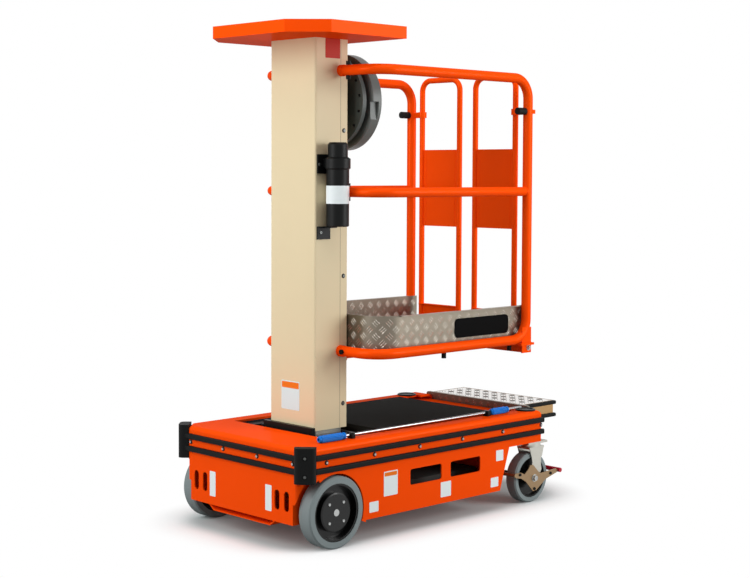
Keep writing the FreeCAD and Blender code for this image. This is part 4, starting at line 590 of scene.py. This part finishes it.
PLATE_BARS = bar_pattern(pitch=0.0255, length=0.028, width=0.0031, height=0.0012, gap=0.0084)
STEP_BARS = bar_pattern(pitch=0.0255, length=0.034, width=0.0034, height=0.0014, gap=0.011)
RISER_BARS = bar_pattern(pitch=0.02, length=0.022, width=0.003, height=0.001, gap=0.007)


def tread(name, points, across, width, side, body, material, bars=PLATE_BARS):
    """Tread bars on a strip that follows a line; side is 1 or -1, the way that they stand out."""
    grow(name, TREAD_BARS, path_curve(points), body, {
        "Across": across, "Width": width, "Side": float(side), "Material": material, **bars})


# Chassis details; heads of screws and discs are given as radius and height

DECK_LOW, DECK_HIGH = node_box("deck")
BAND_Y = DECK_HIGH.y
FRONT_X = DECK_LOW.x
STRIP_MIDDLE_Z = 0.309
SIDE_SCREWS = 6
SIDE_SCREW_FIRST, SIDE_SCREW_LAST = FRONT_X + 0.1, FRONT_X + 1.255
FRONT_SCREWS = 4
FRONT_SCREW_REACH = 0.29
STRIP_WASHER, STRIP_SCREW = (0.0085, 0.0012), (0.0052, 0.0032)

band_screws = []
for name, side in SIDES:
    for i in range(SIDE_SCREWS):
        x = SIDE_SCREW_FIRST + (SIDE_SCREW_LAST - SIDE_SCREW_FIRST) * i / (SIDE_SCREWS - 1)
        band_screws.append(((x, side * BAND_Y, STRIP_MIDDLE_Z), (0, side, 0)))
for i in range(FRONT_SCREWS):
    y = FRONT_SCREW_REACH * (2 * i / (FRONT_SCREWS - 1) - 1)
    band_screws.append(((FRONT_X, y, STRIP_MIDDLE_Z), AHEAD))
discs("strip_washers", band_screws, EXTRA["black_screw"], "chassis", "black_plastic", *STRIP_WASHER)
screws("strip_screws", lifted(band_screws, STRIP_WASHER[1]), EXTRA["bright_screw"], "chassis",
       "zinc_steel", *STRIP_SCREW)

CORNER_CUT, BUMPER_DEPTH = 0.048, 0.034
BUMPER_SCREW_Z, BUMPER_SCREW = (0.336, 0.272), (0.0062, 0.003)
bumper_screws = []
for name, side in SIDES:
    middle = Vector((FRONT_X + CORNER_CUT / 2, side * (BAND_Y - CORNER_CUT / 2), 0))
    out = Vector((-1, side, 0)).normalized()
    for z in BUMPER_SCREW_Z:
        bumper_screws.append((middle + out * BUMPER_DEPTH + Vector((0, 0, z)), out))
screws("corner_screws", bumper_screws, EXTRA["dull_screw"], "chassis", "zinc_steel", *BUMPER_SCREW)

# Lips that draw the side skirts close round the big wheels; angles are at the axle, from +X up
AXLE = node_middle("hub_near")
LIP_RADIUS, ARCH_RADIUS = 0.136, 0.148
LIP_FACE, LIP_BACK = 0.352, 0.347
LIP_STEPS = 40
SKIRT_EDGE_X, SKIRT_TOP = FRONT_X + 0.290, 0.243
SKIRT_LOW_ANGLE, RIM_ANGLE = math.radians(-21.3), math.asin((SKIRT_TOP - AXLE.z) / ARCH_RADIUS)
CORNER_ANGLE = math.atan2(SKIRT_TOP - AXLE.z, SKIRT_EDGE_X - AXLE.x)
LIP_END = math.pi - math.asin((SKIRT_TOP - AXLE.z) / LIP_RADIUS)


def lip_reach(angle):
    """Distance from the axle to the sheet that the lip meets."""
    if angle <= CORNER_ANGLE:
        return (SKIRT_EDGE_X - AXLE.x) / math.cos(angle)
    if angle <= RIM_ANGLE:
        return (SKIRT_TOP - AXLE.z) / math.sin(angle)
    return ARCH_RADIUS


lip_sweep = LIP_END - SKIRT_LOW_ANGLE
lip_angles = sorted([SKIRT_LOW_ANGLE + lip_sweep * i / LIP_STEPS for i in range(LIP_STEPS + 1)]
                    + [CORNER_ANGLE, RIM_ANGLE])
lip_points, lip_faces = [], []
for name, side in SIDES:
    base = len(lip_points)
    for angle in lip_angles:
        for reach, depth in ((LIP_RADIUS, LIP_FACE), (lip_reach(angle), LIP_FACE),
                             (lip_reach(angle), LIP_BACK), (LIP_RADIUS, LIP_BACK)):
            lip_points.append((AXLE.x + reach * math.cos(angle), side * depth,
                               AXLE.z + reach * math.sin(angle)))
    for i in range(len(lip_angles) - 1):
        a, b = base + 4 * i, base + 4 * (i + 1)
        for k in range(4):
            quad = [a + k, a + (k + 1) % 4, b + (k + 1) % 4, b + k]
            lip_faces.append(quad if side < 0 else quad[::-1])
    last = base + 4 * (len(lip_angles) - 1)
    for end in ([base, base + 3, base + 2, base + 1], [last, last + 1, last + 2, last + 3]):
        lip_faces.append(end if side < 0 else end[::-1])
piece_from("arch_lips", lip_points, lip_faces, FINISHES["orange_paint"], "chassis")

# Blank labels: place behind the front panel, height of the middle, width and height
SIDE_LABELS = ((0.413, 0.194, 0.070, 0.090), (0.703, 0.130, 0.056, 0.057), (1.007, 0.218, 0.042, 0.042),
               (0.978, 0.117, 0.044, 0.037), (0.329, 0.120, 0.045, 0.038))
SKIRT_Y = node_box("tub")[1].y
FRONT_LABEL_Y, FRONT_LABEL_Z, FRONT_LABEL_SIZE = 0.159, 0.171, (0.034, 0.092)
HEAD_RISE, HEAD_MARGIN, HEAD_HEIGHT = 0.034, 0.008, 0.014
side_labels = [((FRONT_X + x, side * SKIRT_Y, z), (0, side, 0), UP, width, height)
               for name, side in SIDES for x, z, width, height in SIDE_LABELS]
front_labels = [((FRONT_X, side * FRONT_LABEL_Y, FRONT_LABEL_Z), AHEAD, UP, *FRONT_LABEL_SIZE)
                for name, side in SIDES]
plates("chassis_labels", side_labels + front_labels, EXTRA["label_white"], "chassis")
head_x, head_z, head_width = SIDE_LABELS[0][:3]
label_heads = [((FRONT_X + head_x, side * (SKIRT_Y + LABEL_THICKNESS), head_z + HEAD_RISE), (0, side, 0),
                UP, head_width - HEAD_MARGIN, HEAD_HEIGHT) for name, side in SIDES]
plates("label_heads", label_heads, EXTRA["label_orange"], "chassis",
       thickness=FIELD_THICKNESS)

# Ribs that thicken the two hand grips of the stowed bar: middle and length of each set
GRIP_LOW, GRIP_HIGH = node_box("bar_grips")
GRIP_MIDDLE = node_middle("bar_grips")
GRIP_RIBS, GRIP_CIRCLE, GRIP_RIB_WIDTH = 14, 0.0108, 0.0052
for name, x, length in (("front", GRIP_LOW.x + 0.057, 0.098), ("rear", GRIP_HIGH.x - 0.054, 0.076)):
    spot = bpy.data.meshes.new("spot")
    spot.from_pydata([(0, 0, 0)], [], [])
    grow("grip_ribs_" + name, RING_RIBS, spot, "chassis", {
        "Count": GRIP_RIBS, "Circle Radius": GRIP_CIRCLE, "Rib Length": length,
        "Rib Width": GRIP_RIB_WIDTH, "Centre": (x, GRIP_MIDDLE.y, GRIP_MIDDLE.z),
        "Turn": (0.0, math.pi / 2, 0.0), "Material": FINISHES["blue_grip"]})

# Boarding step: a near-white sheet, its colour painted reflection of the white surround, with dark bars on
# top in painted shade and bright bars on its riser
STEP_LOW, STEP_HIGH = node_box("step")
FASCIA_LOW, FASCIA_HIGH = node_box("step_fascia")
STEP_HALF = FASCIA_HIGH.y - 0.005
STEP_MARGIN, RISER_OVERHANG, STEP_SHEET = 0.002, 0.02, 0.0004
plates("step_sheet", [(((FASCIA_LOW.x + STEP_HIGH.x) / 2, 0, STEP_HIGH.z), UP, (0, 1, 0),
                       STEP_HIGH.x - FASCIA_LOW.x - 2 * STEP_MARGIN, 2 * (STEP_HALF - STEP_MARGIN))],
       EXTRA["step_painted_reflection"], "chassis", thickness=STEP_SHEET)
tread("step_tread", [(FASCIA_LOW.x, -STEP_HALF, STEP_HIGH.z), (STEP_HIGH.x, -STEP_HALF, STEP_HIGH.z)],
      (0, 1, 0), 2 * STEP_HALF, 1, "chassis", EXTRA["tread_painted_shade"], STEP_BARS)
riser_line = [(STEP_LOW.x, side * (STEP_HALF + RISER_OVERHANG), STEP_LOW.z + STEP_MARGIN)
              for name, side in SIDES]
tread("riser_tread", riser_line, UP, STEP_HIGH.z - STEP_LOW.z - 2 * STEP_MARGIN, -1, "chassis",
      EXTRA["tread_bright"], RISER_BARS)


# Big wheels

HUB_BOLTS, FIRST_HUB_BOLT, HUB_BOLT_CIRCLE = 4, 45, 0.047  # the first at an angle in degrees
HUB_BOLT, HUB_BOLT_CROWN = (0.0058, 0.0032), 0.85
BOSS_INSET, HUB_CAP = 0.001, (0.0125, 0.0025)
for name, side in SIDES:
    low, high = node_box("hub_" + name)
    centre = (low + high) / 2
    face = Vector((centre.x, (high.y if side > 0 else low.y) - side * BOSS_INSET, centre.z))
    bolts = []
    for k in range(HUB_BOLTS):
        angle = math.radians(FIRST_HUB_BOLT + 360 * k / HUB_BOLTS)
        arm = Vector((HUB_BOLT_CIRCLE * math.cos(angle), 0, HUB_BOLT_CIRCLE * math.sin(angle)))
        bolts.append((face + arm, (0, side, 0)))
    screws("hub_bolts_" + name, bolts, EXTRA["bright_screw"], "wheel_" + name, "zinc_steel",
           *HUB_BOLT, crown=HUB_BOLT_CROWN)
    discs("hub_cap_" + name, [(face, (0, side, 0))], EXTRA["bright_screw"], "wheel_" + name,
          "zinc_steel", *HUB_CAP)


# Castors: on each rocker plate an axle nut and three pins, placed by how far they are behind and
# above the axle

ROCKER_FACE = 0.041
AXLE_NUT, NUT_WASHER = (0.0125, 0.0085), (0.015, 0.0015)
ROCKER_PIN, ROCKER_PIN_PLACES = (0.0068, 0.004), ((0.0, -0.043), (-0.088, 0.024), (0.1, 0.006))
for name, side in SIDES:
    axle = node_middle("castor_hub_" + name)
    nuts = [(axle + Vector((0, turn * ROCKER_FACE, 0)), (0, turn, 0)) for turn in (-1, 1)]
    screws("castor_nuts_" + name, nuts, EXTRA["bright_screw"], "castor_" + name, "zinc_steel",
           *AXLE_NUT, crown=0.88, recess=0.62, depth=0.001, sides=6, washer=NUT_WASHER[0],
           washer_height=NUT_WASHER[1])
    pins = [(axle + Vector((along, turn * ROCKER_FACE, height)), (0, turn, 0))
            for along, height in ROCKER_PIN_PLACES for turn in (-1, 1)]
    screws("castor_pins_" + name, pins, EXTRA["black_screw"], "castor_" + name, "black_plastic",
           *ROCKER_PIN, sides=6)


# Mast: seam lines in a dark colour painted for the shade in the seams, screws on both flanks, and blank
# labels

MAST_LOW, MAST_HIGH = node_box("outer_mast")
SEAM_X, SEAM_SCREW_X = FRONT_X + 0.370, FRONT_X + 0.386
SEAM_SCREW_Z = (1.467, 0.933, 0.461)
SEAM_WIDTH, SEAM_HEIGHT = 0.0012, MAST_HIGH.z - MAST_LOW.z - 0.002
MAST_WASHER, MAST_SCREW = (0.0085, 0.0008), (0.0058, 0.0032)
seams = [((SEAM_X, side * MAST_HIGH.y, (MAST_LOW.z + MAST_HIGH.z) / 2), (0, side, 0), UP, SEAM_WIDTH,
          SEAM_HEIGHT) for name, side in SIDES]
seam_screws = [((SEAM_SCREW_X, side * MAST_HIGH.y, z), (0, side, 0))
               for name, side in SIDES for z in SEAM_SCREW_Z]
plates("mast_seams", seams, EXTRA["seam_painted_shade"], "platform", thickness=FIELD_THICKNESS)
discs("mast_washers", seam_screws, EXTRA["black_screw"], "platform", "black_plastic", *MAST_WASHER)
screws("mast_screws", lifted(seam_screws, MAST_WASHER[1]), EXTRA["dull_screw"], "platform",
       "zinc_steel", *MAST_SCREW)

MAST_LABEL_Y, MAST_LABEL_Z, MAST_LABEL_SIZE = 0.0095, 0.490, (0.101, 0.107)
MAST_HEAD_Z, MAST_HEAD_SIZE = 0.528, (0.095, 0.023)
RED_LABEL_X, RED_LABEL_Z, RED_LABEL_SIZE = FRONT_X + 0.33, 1.765, (0.072, 0.074)
plates("mast_front_label", [((MAST_LOW.x, MAST_LABEL_Y, MAST_LABEL_Z), AHEAD, UP, *MAST_LABEL_SIZE)],
       EXTRA["mast_label"], "platform")
plates("mast_label_head", [((MAST_LOW.x - LABEL_THICKNESS, MAST_LABEL_Y, MAST_HEAD_Z), AHEAD, UP,
                            *MAST_HEAD_SIZE)],
       EXTRA["label_orange"], "platform", thickness=FIELD_THICKNESS)
plates("mast_side_label", [((RED_LABEL_X, MAST_LOW.y, RED_LABEL_Z), NEAR, UP, *RED_LABEL_SIZE)],
       EXTRA["label_red"], "platform")


# Platform: tread bars on the toe board and the floor

TOE_LOW, TOE_HIGH = node_box("toe_board")
TOE_HALF, TOE_CORNER, TOE_PLATE = 0.3, 0.11, 0.003
TOE_CORNER_STEPS = 12
TOE_FOOT, TOE_MARGINS = 0.002, 0.006  # below the bars, and below and above them together


def toe_line(inset, z):
    """Plan line of the toe board, from the near rear end round the front to the far rear end."""
    half, corner = TOE_HALF - inset, TOE_CORNER - inset
    front = TOE_LOW.x + inset
    points = [Vector((TOE_HIGH.x, -half, z))]
    for sign in (-1, 1):
        centre = Vector((front + corner, sign * (half - corner), z))
        for i in range(TOE_CORNER_STEPS + 1):
            share = i / TOE_CORNER_STEPS
            angle = math.pi / 2 * (share if sign < 0 else 1 - share)
            points.append(centre + Vector((-corner * math.sin(angle), sign * corner * math.cos(angle), 0)))
    points.append(Vector((TOE_HIGH.x, half, z)))
    return points


for label, inset, turn in (("outer", 0.0, -1), ("inner", TOE_PLATE, 1)):
    tread("toe_board_bars_" + label, toe_line(inset, TOE_LOW.z + TOE_FOOT), UP,
          TOE_HIGH.z - TOE_LOW.z - TOE_MARGINS, turn, "platform", EXTRA["tread_bright"])

FLOOR_LOW, FLOOR_HIGH = node_box("platform_floor")
FLOOR_HALF, FLOOR_FRONT_GAP, FLOOR_REAR_GAP = 0.28, 0.06, 0.01
floor_line = [(FLOOR_LOW.x + FLOOR_FRONT_GAP, -FLOOR_HALF, FLOOR_HIGH.z),
              (FLOOR_HIGH.x - FLOOR_REAR_GAP, -FLOOR_HALF, FLOOR_HIGH.z)]
tread("floor_bars", floor_line, (0, 1, 0), 2 * FLOOR_HALF, 1, "platform", EXTRA["tread_bright"])

# A blank black sign on the near side of the toe board, on top of the bars
SIGN_X, SIGN_Z, SIGN_SIZE = FRONT_X + 0.954, 0.723, (0.309, 0.074)
SIGN_THICKNESS, SIGN_CORNER = 0.0008, 0.018
plates("toe_board_sign", [((SIGN_X, -TOE_HALF - PLATE_BARS["Bar Height"], SIGN_Z), NEAR, UP, *SIGN_SIZE)],
       EXTRA["sign_black"], "platform", thickness=SIGN_THICKNESS, corner=SIGN_CORNER)

# Document tube: a white band round the can and a bolt through each bracket
TUBE_MIDDLE = node_middle("document_tube")
TUBE_RADIUS = 0.0415
BAND_INNER, BAND_OUTER = TUBE_RADIUS - 0.0003, TUBE_RADIUS + 0.0005
BAND_LOW, BAND_HIGH, BAND_STEPS = 1.201, 1.266, 40
BRACKET_PLATE, TUBE_BOLT = 0.005, (0.0065, 0.004)
band_points, band_faces = [], []
for i in range(BAND_STEPS):
    angle = 2 * math.pi * i / BAND_STEPS
    for reach, z in ((BAND_INNER, BAND_LOW), (BAND_OUTER, BAND_LOW), (BAND_OUTER, BAND_HIGH),
                     (BAND_INNER, BAND_HIGH)):
        band_points.append((TUBE_MIDDLE.x + reach * math.cos(angle),
                            TUBE_MIDDLE.y + reach * math.sin(angle), z))
    after = (i + 1) % BAND_STEPS
    for k in range(4):
        band_faces.append([4 * i + k, 4 * after + k, 4 * after + (k + 1) % 4, 4 * i + (k + 1) % 4])
piece_from("tube_band", band_points, band_faces, EXTRA["label_white"], "platform")
tube_bolts = [((FRONT_X + x, MAST_LOW.y - BRACKET_PLATE, z), NEAR)
              for x, z in ((0.268, 1.096), (0.262, 1.342))]
screws("tube_bolts", tube_bolts, EXTRA["dull_screw"], "platform", "zinc_steel", *TUBE_BOLT, sides=6)

# Bolts through the corner plates of the guard rails into the cross member
CROSS_BOLT_X, CROSS_BOLT_Y, CROSS_BOLT_Z = FRONT_X + 1.190, 0.338, 0.624
CROSS_BOLT, CROSS_WASHER = (0.0095, 0.006), (0.012, 0.0015)
cross_bolts = [((CROSS_BOLT_X, side * CROSS_BOLT_Y, CROSS_BOLT_Z), (0, side, 0)) for name, side in SIDES]
screws("cross_bolts", cross_bolts, EXTRA["bright_screw"], "platform", "zinc_steel", *CROSS_BOLT,
       sides=6, washer=CROSS_WASHER[0], washer_height=CROSS_WASHER[1])

# Folded edges of the gate panels, beside the two uprights of each, and beads where the middle
# rails join the posts
GATE_X, GATE_SHEET_HALF = FRONT_X + 1.192, 0.0015
UPRIGHTS, UPRIGHT_RADIUS, FOLD_GAP = (0.044, 0.258), 0.0115, 0.013
FOLD_Z, FOLD_SIZE, FOLD_THICKNESS, FOLD_CORNER = 1.2505, (0.0022, 0.317), 0.0009, 0.001
BEAD_X, BEAD_Y, BEAD_Z = GATE_X - 0.0185, 0.322, 1.242
BEAD_RADIUS, BEAD_SECTION = 0.0178, 0.0022
for name, side in SIDES:
    folds = []
    for y in (UPRIGHTS[0] + UPRIGHT_RADIUS + FOLD_GAP, UPRIGHTS[1] - UPRIGHT_RADIUS - FOLD_GAP):
        for face in (-1, 1):
            folds.append(((GATE_X + face * GATE_SHEET_HALF, side * y, FOLD_Z), (face, 0, 0), UP, *FOLD_SIZE))
    plates("gate_folds_" + name, folds, FINISHES["orange_paint"], "gate_swing_" + name,
           thickness=FOLD_THICKNESS, corner=FOLD_CORNER)
    bead("rail_bead_" + name, (BEAD_X, side * BEAD_Y, BEAD_Z), (1, 0, 0), BEAD_RADIUS, BEAD_SECTION,
         FINISHES["orange_paint"], "platform")


# Winding gear: a ring of screws round the fixed plate

PLATE_LOW, PLATE_HIGH = node_box("winder_housing")
WINDER_Z = (PLATE_LOW.z + PLATE_HIGH.z) / 2
PLATE_X = FRONT_X + 0.444
PLATE_SCREWS, PLATE_SCREW_CIRCLE, FIRST_PLATE_SCREW = 16, 0.148, math.radians(188)
PLATE_SCREW = (0.0055, 0.003)
plate_screws = []
for i in range(PLATE_SCREWS):
    angle = FIRST_PLATE_SCREW + 2 * math.pi * i / PLATE_SCREWS
    plate_screws.append(((PLATE_X, PLATE_SCREW_CIRCLE * math.cos(angle),
                          WINDER_Z - PLATE_SCREW_CIRCLE * math.sin(angle)), AHEAD))
screws("winder_screws", plate_screws, EXTRA["black_screw"], "platform", "black_plastic", *PLATE_SCREW)


# Studio: floor, world, lamps and the photograph's camera

WHITE = (1, 1, 1, 1)
# Painted shadow: near and inside this box the floor's colour is darker and a little cool
SHADOW_MIDDLE, SHADOW_HALF = (0.0, 0.04, 0.0), (0.53, 0.16, 0.0)  # a flat box under the machine
SHADED_TO, OPEN_FROM = 0.16, 0.28  # distances from that box, as are the next two
FADE_FROM, FADE_TO = 0.18, 0.4
PAINTED_SHADOW_TONE, OPEN_TONE, BOUNCE_TONE = (0.54, 0.6, 0.6, 1), (0.9, 0.9, 0.9, 1), (0.3, 0.3, 0.3, 1)
FLOOR_GLOW, AMBIENT = 0.04, 0.31
FLOOR_REACH = 12.0
CAMERA_PLACE = (FRONT_X - 3.332, -4.148, 1.313)
CAMERA_YAW, CAMERA_PITCH, CAMERA_ROLL = 46.04, -2.93, 0.26  # degrees, the yaw from +X
CAMERA_LENS, CAMERA_SHIFT = 71.5, -0.0533


def background_rays(tree, seen):
    """1 for the rays that show the background: from the camera, and from metal and glass."""
    passed_on = sums(tree, "MAXIMUM", seen.outputs["Is Glossy Ray"], seen.outputs["Is Transmission Ray"])
    return sums(tree, "MAXIMUM", seen.outputs["Is Camera Ray"], passed_on)


def smooth_rise(tree, value, low, high):
    rise = node(tree, "ShaderNodeMapRange", [("Value", value), ("From Min", low), ("From Max", high)],
                interpolation_type="SMOOTHSTEP")
    return rise.outputs[0]


def shadow_distance(tree):
    """Distance of a place on the floor from the box under the machine."""
    place = node(tree, "ShaderNodeTexCoord").outputs["Object"]
    aside = node(tree, "ShaderNodeVectorMath", [(0, place), (1, SHADOW_MIDDLE)], operation="SUBTRACT")
    folded = node(tree, "ShaderNodeVectorMath", [(0, aside.outputs[0])], operation="ABSOLUTE")
    past = node(tree, "ShaderNodeVectorMath", [(0, folded.outputs[0]), (1, SHADOW_HALF)],
                operation="SUBTRACT")
    kept = node(tree, "ShaderNodeVectorMath", [(0, past.outputs[0])], operation="MAXIMUM")
    return node(tree, "ShaderNodeVectorMath", [(0, kept.outputs[0])], operation="LENGTH").outputs["Value"]


def make_floor():
    """Pale floor that keeps the cast shadow, has a painted shadow under the machine, and fades into a white
    background.
    """
    material = bpy.data.materials.new("studio_floor")
    material.use_nodes = True
    tree = material.node_tree
    tree.nodes.clear()
    seen = node(tree, "ShaderNodeLightPath")
    camera_ray = seen.outputs["Is Camera Ray"]
    distance = shadow_distance(tree)
    # Light that bounces off the floor stays weak, and the part under the machine gets a painted shadow,
    # darker and a little cool, so that the orange above does not tint the shadow
    tone = node(tree, "ShaderNodeMix", [
        ("Factor", smooth_rise(tree, distance, SHADED_TO, OPEN_FROM)), ("A", PAINTED_SHADOW_TONE),
        ("B", OPEN_TONE)], data_type="RGBA")
    albedo = node(tree, "ShaderNodeMix", [
        ("Factor", camera_ray), ("A", BOUNCE_TONE), ("B", tone.outputs["Result"])], data_type="RGBA")
    matt = node(tree, "ShaderNodeBsdfDiffuse", [("Color", albedo.outputs["Result"])])
    glow = node(tree, "ShaderNodeEmission", [("Strength", sums(tree, "MULTIPLY", camera_ray, FLOOR_GLOW))],
                Color=WHITE)
    raised = node(tree, "ShaderNodeAddShader", [(0, matt.outputs[0]), (1, glow.outputs[0])])
    white = node(tree, "ShaderNodeEmission", Color=WHITE, Strength=1.0)
    faded = sums(tree, "MULTIPLY", smooth_rise(tree, distance, FADE_FROM, FADE_TO),
                 background_rays(tree, seen))
    top = node(tree, "ShaderNodeMixShader", [(0, faded), (1, raised.outputs[0]), (2, white.outputs[0])])
    # Seen from below the floor is clear, so the underside can be looked at
    facing = node(tree, "ShaderNodeNewGeometry")
    clear = node(tree, "ShaderNodeBsdfTransparent")
    sided = node(tree, "ShaderNodeMixShader", [
        (0, facing.outputs["Backfacing"]), (1, top.outputs[0]), (2, clear.outputs[0])])
    node(tree, "ShaderNodeOutputMaterial", [("Surface", sided.outputs[0])])
    corners = [(x * FLOOR_REACH, y * FLOOR_REACH, 0) for x, y in ((-1, -1), (1, -1), (1, 1), (-1, 1))]
    mesh = bpy.data.meshes.new("studio_floor")
    mesh.from_pydata(corners, [], [(0, 1, 2, 3)])
    mesh.materials.append(material)
    floor = bpy.data.objects.new("studio_floor", mesh)
    bpy.context.collection.objects.link(floor)


def make_world():
    """Soft grey surround for light, plain white where the camera and mirrors look."""
    world = bpy.data.worlds.new("studio")
    bpy.context.scene.world = world
    world.use_nodes = True
    tree = world.node_tree
    ambient = tree.nodes["Background"]
    ambient.inputs["Color"].default_value = WHITE
    ambient.inputs["Strength"].default_value = AMBIENT
    white = node(tree, "ShaderNodeBackground", Color=WHITE, Strength=1.0)
    shown = background_rays(tree, node(tree, "ShaderNodeLightPath"))
    mix = node(tree, "ShaderNodeMixShader", [(0, shown), (1, ambient.outputs[0]), (2, white.outputs[0])])
    tree.links.new(mix.outputs[0], tree.nodes["World Output"].inputs["Surface"])


def make_lamp(name, place, target, size, watts):
    lamp = bpy.data.lights.new(name, "AREA")
    lamp.shape = "RECTANGLE"
    lamp.size, lamp.size_y = size
    lamp.energy = watts
    holder = bpy.data.objects.new(name, lamp)
    holder.location = place
    holder.rotation_euler = (Vector(target) - Vector(place)).to_track_quat("-Z", "Y").to_euler()
    bpy.context.collection.objects.link(holder)


def make_camera():
    yaw, pitch, roll = (math.radians(turn) for turn in (CAMERA_YAW, CAMERA_PITCH, CAMERA_ROLL))
    camera = bpy.data.cameras.new("camera")
    camera.sensor_width = 36.0
    camera.lens = CAMERA_LENS
    camera.shift_y = CAMERA_SHIFT
    holder = bpy.data.objects.new("camera", camera)
    forward = Vector((math.cos(yaw) * math.cos(pitch), math.sin(yaw) * math.cos(pitch), math.sin(pitch)))
    right = forward.cross(Vector(UP)).normalized()
    up = right.cross(forward)
    turned = Matrix((right, up, -forward)).transposed().to_4x4() @ Matrix.Rotation(roll, 4, "Z")
    holder.matrix_world = Matrix.Translation(CAMERA_PLACE) @ turned
    bpy.context.collection.objects.link(holder)
    bpy.context.scene.camera = holder


make_floor()
make_world()
make_lamp("overhead", place=(-0.6, -0.6, 3.6), target=(0, 0, 0.6), size=(3.0, 3.0), watts=44)
make_lamp("left_window", place=(-3.4, 0.6, 2.2), target=(0, 0, 0.8), size=(2.2, 2.4), watts=84)
make_lamp("right_window", place=(2.2, -3.6, 1.8), target=(0, 0, 0.8), size=(2.4, 2.4), watts=118)
make_camera()
bpy.context.scene.view_settings.view_transform = "Standard"
